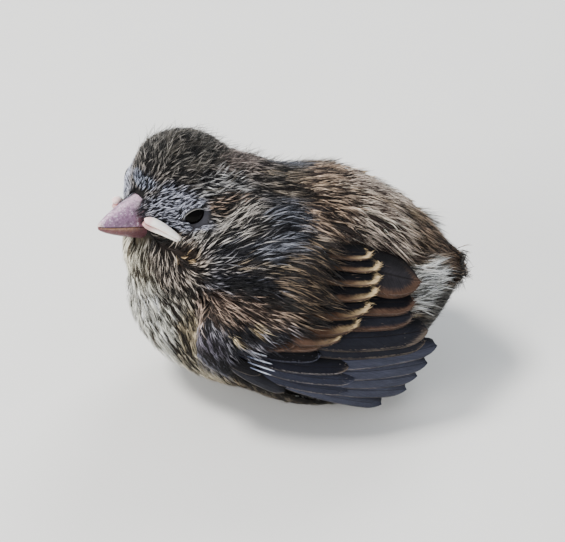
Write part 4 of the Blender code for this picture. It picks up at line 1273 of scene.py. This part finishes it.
def tail(material):
    """Short tail: blades fanned from the rump, each over the next from the middle out, arched like the wing's."""
    number = np.arange(RECTRICES)[:, None, None]
    a = np.linspace(0, 1, VANE_ROWS)[None, :, None]
    turn = TAIL_SPREAD * (number / (RECTRICES - 1) - 0.5)
    taper = np.sqrt(np.clip(1 - np.clip((a - 0.8) / 0.2, 0, 0.999) ** 2, 0, 1))
    off = VANE_ACROSS * 0.95 * (0.7 + 0.3 * a) * taper
    reach = 3.5 + TAIL_LENGTH * a
    x = np.sin(turn) * reach * 1.25 + off * np.cos(turn)
    y = TAIL_ROOT[1] + np.cos(turn) * reach - 3.5 - off * np.sin(turn)
    level = np.abs(number - (RECTRICES - 1) / 2) * 0.08
    z = TAIL_ROOT[2] - 0.1 * TAIL_LENGTH * a - 6.0 * turn**2 - level + 0.12 * (1 - VANE_ACROSS**2) + 0.05 * VANE_FACE
    points = np.stack(np.broadcast_arrays(x, y, z), axis=-1)
    shares = np.stack(np.broadcast_arrays(a, VANE_ACROSS, number + 40.0), axis=-1)
    tints = [np.tile(paint(*colour), (RECTRICES, 1)) for colour in (UMBER, RUFOUS, RUFOUS)]
    rim = np.tile((0.15, 0.05, 0.3), (RECTRICES, 1))
    add_vanes("tail_feathers", points, shares, tints, rim, material, True, ("tail",))


# ---------------------------------------------------------------- bill, lips, eyes


BRISTLES = 260  # how many


def bristles(material):
    """Fine dark barbs that reach forwards over the root of the upper bill, thickest round the nostrils."""
    turn = rng.uniform(0.15, math.pi - 0.15, BRISTLES)
    root = horn_end(np.cos(turn) * BILL_HALF_WIDTH) + rng.uniform(0.0, 0.7, BRISTLES)
    reach = rng.uniform(0.8, 2.3, BRISTLES) * (0.55 + 0.45 * hump(np.abs(turn - math.pi / 2), 0.8, 0.4))
    share = SPIKE_STATIONS
    back = root[:, None] - reach[:, None] * share
    spin = turn[:, None] + rng.normal(0, 0.10, (BRISTLES, 1)) * share
    spin = spin - 0.10 * np.sign(math.pi / 2 - turn)[:, None] * share
    edge = -GAPE_SLOPE * back
    rise = ridge_height(back) - edge
    wide = bill_width(back) + 0.10
    middle = on_head(back, wide * np.cos(spin), edge + (rise + 0.10) * np.sin(spin) ** 0.9)
    out = LEFT * np.cos(turn)[:, None] + UP * np.sin(turn)[:, None]
    across = unit(np.cross(middle[:, 2] - middle[:, 0], out))
    points = spikes(middle, across[:, None], out[:, None], 0.028 * SPIKE_TAPER)
    tint = paint(34, 32, 38) * rng.uniform(0.4, 1.6, (BRISTLES, 1, 1)) * np.ones((1, BARB_POINTS, 1))
    tint = np.where(rng.random((BRISTLES, 1, 1)) < 0.12, paint(170, 172, 186), tint)
    uv = unwrapped(middle[:, 0])[:, None] + SPIKE_UNWRAP
    add_mesh("bristles", points, spike_faces(2, BRISTLES), material, {"tint": tint}, uv=uv)


def upper_bill(material):
    """Upper half of the bill: arches over its closing line, a little keeled, with a nostril hollow on each side."""
    back = (0.12 + (BILL_LENGTH + BILL_ROOT - 0.12) * np.linspace(0, 1, 60) ** 0.9)[:, None]
    turn = np.linspace(0, math.pi, 37)[None]
    low = np.linspace(-1, 1, 13)[None, 1:-1]
    whole = np.concatenate((turn, np.full_like(low, -0.3)), axis=1)  # the turn over the bill, and below 0 under it
    off_ridge = np.abs(whole - math.pi / 2)
    edge = -GAPE_SLOPE * back + 0.08
    deep = np.maximum(ridge_height(back) - edge, 0.12)
    nostril = np.exp(-(((back - 7.5) / 0.75) ** 2) - ((off_ridge - 0.72) / 0.16) ** 2)
    left = bill_width(back) * np.cos(turn) * (1 - 0.10 * np.sin(turn) ** 4)
    left = np.concatenate((left, bill_width(back) * low), axis=1) * (1 - 0.10 * nostril)
    under = edge + 0.25 * (1 - low**2) * np.minimum(back / 3, 1)
    up = np.concatenate((edge + deep * np.sin(turn) ** 0.9, under), axis=1) - 0.10 * nostril
    share = back / BILL_LENGTH + 0 * whole
    hidden = back - horn_end(left)
    halo = np.exp(-(((back - 7.3) / 1.3) ** 2) - ((off_ridge - 0.7) / 0.34) ** 2)
    tint = painted(
        mixed(paint(138, 106, 134), paint(118, 87, 112), ease(0.1, 0.8, share)[..., None]),
        ((196, 166, 184), hump(whole, math.pi / 2, 0.34) * 0.7),  # the ridge
        ((226, 206, 196), 1 - ease(0.0, 0.10, share)),  # the tip
        ((146, 78, 84), ease(-1.6, 0.0, hidden) * hump(off_ridge, 1.1, 0.5) * 0.8),  # flesh at the root
        ((222, 210, 216), halo * 0.6),  # round the nostril
        # painted shade of the nostril's opening, over a shallow dent
        ((70, 44, 52), nostril * 0.9),
        ((128, 70, 72), np.where(whole < 0, 0.8, 0.0)),  # the underside
        # painted shade: near black where the horn runs on under the feathers
        ((30, 30, 36), ease(-0.1, 0.5, hidden)),
    )
    add_tube("upper_bill", on_head(back, left, up), material, tint, ("bill_upper",))


def lower_bill(material):
    """Lower half of the bill: a shallow trough with a paler biting edge."""
    back = (0.4 + (BILL_LENGTH + BILL_ROOT - 0.4) * np.linspace(0, 1, 50))[:, None]
    turn = np.linspace(0, math.pi, 29)[None, ::-1]
    low = np.linspace(1, -1, 13)[None, 1:-1]
    edge = -GAPE_SLOPE * back - 0.10
    left = 0.9 * bill_width(back) * np.concatenate((np.cos(turn), low), axis=1)
    up = np.concatenate((edge - chin_depth(back) * np.sin(turn), edge - 0.12 + 0 * low), axis=1)
    whole = np.concatenate((turn, np.full_like(low, -0.3)), axis=1)
    share = back / BILL_LENGTH + 0 * whole
    biting = np.where(whole < 0, 0.0, hump(np.sin(whole), 0, 0.22))
    tint = painted(
        mixed(paint(104, 56, 60), paint(78, 42, 48), ease(0.1, 0.8, share)[..., None]),
        ((190, 150, 116), biting * (1 - ease(0.4, 0.8, share)) * 0.8),
        # painted shade: near black where the horn runs on under the feathers
        ((30, 26, 24), ease(8.6, 9.3, back)),
    )
    add_tube("lower_bill", on_head(back, left, up), material, tint, ("bill_lower",))


def lips(material):
    """Gape lips: at each corner of the mouth an upper and a lower roll of flesh, meeting behind."""
    t = np.linspace(0.0, 1.0, 40)
    turn = np.linspace(0, 2 * math.pi, 20, endpoint=False)[None, :, None]
    swell = (1 - 0.75 * t**1.6) * (1 - np.exp(-(t + 0.06) / 0.10))
    rolls = (  # name, up or down, height, where the darker front ends and its colour, the solid that it stands for
        ("upper", 1, 0.72, 0.22, (214, 178, 178), "gape"),
        ("lower", -1, 0.56, 0.42, (158, 92, 94), None),
    )
    for side, label in LEFT_AND_RIGHT:
        for name, up, tall, front_end, front_colour, solid in rolls:
            middle = lip_path(t) + np.stack((0 * t, 0.10 * up + 0 * t, up * 0.54 * swell), axis=1)
            forward = unit(np.gradient(middle, axis=0))
            rise = unit(np.array((0, 0, 1.0)) - forward * forward[:, 2:3])
            out = np.cross(rise, forward)
            out = out * np.sign(out[:, 1:2])
            ring = middle[:, None] + out[:, None] * np.cos(turn) * (0.95 * swell)[:, None, None]
            ring = ring + rise[:, None] * np.sin(turn) * (tall * swell)[:, None, None]
            # where the two rolls meet: pinker flesh with painted shade in the fold
            crease_pink_and_shade = ease(0.5, 1.0, -up * np.sin(turn[..., 0])) * (1 - ease(0.35, 0.7, t))[:, None]
            front = (1 - ease(0.10, front_end, t))[:, None]
            tint = np.broadcast_to(paint(255, 250, 242), ring.shape)
            tint = painted(tint, ((196, 128, 116), crease_pink_and_shade * 0.8), (front_colour, front * 0.8))
            points = on_head(*np.moveaxis(ring * (1, side * CHEEK_FULLNESS[side], 1), -1, 0))
            stands_for = (f"{solid}_{label}",) if solid else ()
            add_tube(f"gape_{name}_{label}", points[:, ::-side], material, tint[:, ::-side], stands_for)


def along(axes, *amounts):
    """Offsets of these amounts along three axes."""
    return sum(axis * amount[..., None] for axis, amount in zip(axes, amounts))


def eyes(ball_material, lid_material):
    """Eyeballs, and round each a lid: a closed band whose inner rim is an almond and whose outer edge sinks."""
    lon, lat = np.linspace(0, 2 * math.pi, 40, endpoint=False), np.linspace(0.02, math.pi - 0.02, 24)[:, None]
    turn = np.linspace(0, 2 * math.pi, 72, endpoint=False)[:, None]
    reach = np.linspace(0, 1, 12) ** 1.4
    reach = np.concatenate((reach, reach[::-1]))[None]  # from the opening outwards over the lid, and back under it
    outer = np.repeat((1.0, 0.0), 12)[None]
    x = mixed(EYE_OPENING[0] * np.cos(turn) - OPENING_AHEAD, LID_REACH * np.cos(turn), reach)
    y = mixed(EYE_OPENING[1] * np.sin(turn) * pointed(turn), LID_REACH * np.sin(turn), reach)
    high = np.sqrt(np.maximum((EYE_RADIUS - 0.02) ** 2 - x**2 - y**2, 0.01))
    fold = hump(reach, 0.02, 0.10) * 0.07 + hump(reach, 0.34, 0.09) * 0.04
    radius = EYE_RADIUS - 0.05 + outer * (0.19 + fold * (1 + 0.5 * np.sin(turn)))
    bright = hump(reach, 0, 0.07) * outer * np.maximum(0.5 + 0.5 * np.sin(turn), 0.6 * np.cos(turn + 0.9))
    lid_tint = np.broadcast_to(paint(12, 12, 14), (*x.shape, 3))
    lid_tint = painted(lid_tint, (LID_GREY, ease(0.10, 0.26, reach)), ((132, 130, 126), bright))
    for side, label in LEFT_AND_RIGHT:
        centre, *axes = eye_axes(side)
        order = 1 if np.dot(np.cross(*axes[:2]), axes[2]) > 0 else -1
        ball = along(axes, np.sin(lat) * np.cos(lon), np.sin(lat) * np.sin(lon), np.cos(lat))
        points = (centre + ball * EYE_RADIUS)[::-1, ::order]
        tint = np.broadcast_to(paint(8, 6, 6), points.shape)
        add_tube(f"eyeball_{label}", points, ball_material, tint, (f"eye_{label}",))

        points = (centre + unit(along(axes, x, y, high)) * radius[..., None])[::order]
        rows, around = points.shape[:2]
        quads = band(rows, around, round_rows=True)
        uv = unrolled([quads], rows, around, round_rows=True)
        colours = {"tint": lid_tint[::order]}
        add_mesh(f"eyelid_{label}", points, [quads], lid_material, colours, uv=uv)


# ---------------------------------------------------------------- put together


def carried_over():
    """The folded legs and the claws keep their solids and take their own finishes."""
    shank, horn = leg_finish(), claw_finish()
    for name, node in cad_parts.items():
        if name.startswith(("leg_", "claw_")):
            node.data.materials.clear()
            node.data.materials.append(horn if name.startswith("claw_") else shank)


def studio():
    """Pale floor, soft lights, and the camera above the bird's left side."""
    bpy.ops.mesh.primitive_plane_add(size=3.0)
    floor = bpy.context.object
    floor.name = "floor"
    ground = Finish("floor_paper", Roughness=0.9)
    grain = ground.noise(ground.place(), 60.0, 3.0)
    ground.wear("Base Color", ground.mix(grain * 0.3, paint(214, 213, 210), paint(226, 225, 222)))
    floor.data.materials.append(ground.material)

    world = bpy.data.worlds.new("soft_room")
    world.use_nodes = True
    world.node_tree.nodes["Background"].inputs["Color"].default_value = (0.86, 0.92, 1.0, 1.0)
    world.node_tree.nodes["Background"].inputs["Strength"].default_value = 0.75
    bpy.context.scene.world = world
    for name, place, size, power, colour in (
        ("key", (0.05, -0.40, 0.80), 0.22, 12.0, (1.0, 0.98, 0.95)),
        ("back", (-0.60, 0.25, 0.60), 0.40, 5.0, (0.95, 0.98, 1.0)),
        ("front", (0.38, -0.46, 0.26), 0.30, 4.0, (1.0, 0.98, 0.95)),
    ):
        lamp = bpy.data.lights.new(name, "AREA")
        lamp.size, lamp.energy, lamp.color = size, power, colour
        held = bpy.data.objects.new(name, lamp)
        held.location = place
        held.rotation_euler = (Vector(place) - Vector((0, 0, 0.02))).to_track_quat("Z", "Y").to_euler()
        bpy.context.scene.collection.objects.link(held)

    target, distance, height = Vector((0.0, -0.0012, 0.0195)), 0.2993, math.radians(37.0)
    back = Vector((math.cos(height), 0.0, math.sin(height)))
    lens = bpy.data.cameras.new("camera")
    lens.lens, lens.clip_start, lens.clip_end = 120.0, 0.01, 10.0
    camera = bpy.data.objects.new("camera", lens)
    camera.location = target + back * distance
    camera.rotation_euler = back.to_track_quat("Z", "Y").to_euler()
    bpy.context.scene.collection.objects.link(camera)
    bpy.context.scene.camera = camera


studio()
carried_over()
barbs_paint, vane_paint, flesh_paint = coat_finish(), vane_finish(), lip_finish()
lid_paint = skin_finish()
LUMPS = (*FLESH, "eye_left", "eye_right", "bill_upper", "bill_lower")
form = Form(*melted(LUMPS))
skin(form, lid_paint)
coat(Form(*melted((*LUMPS, "tail"))), barbs_paint)
wisps(form, barbs_paint)
wings(vane_paint, barbs_paint)
sheaths(flesh_paint)
tail(vane_paint)
bristles(barbs_paint)
upper_bill(horn_finish("upper_horn", 0.7))
lower_bill(horn_finish("lower_horn", 0.12))
lips(flesh_paint)
eyes(eye_finish(), lid_paint)
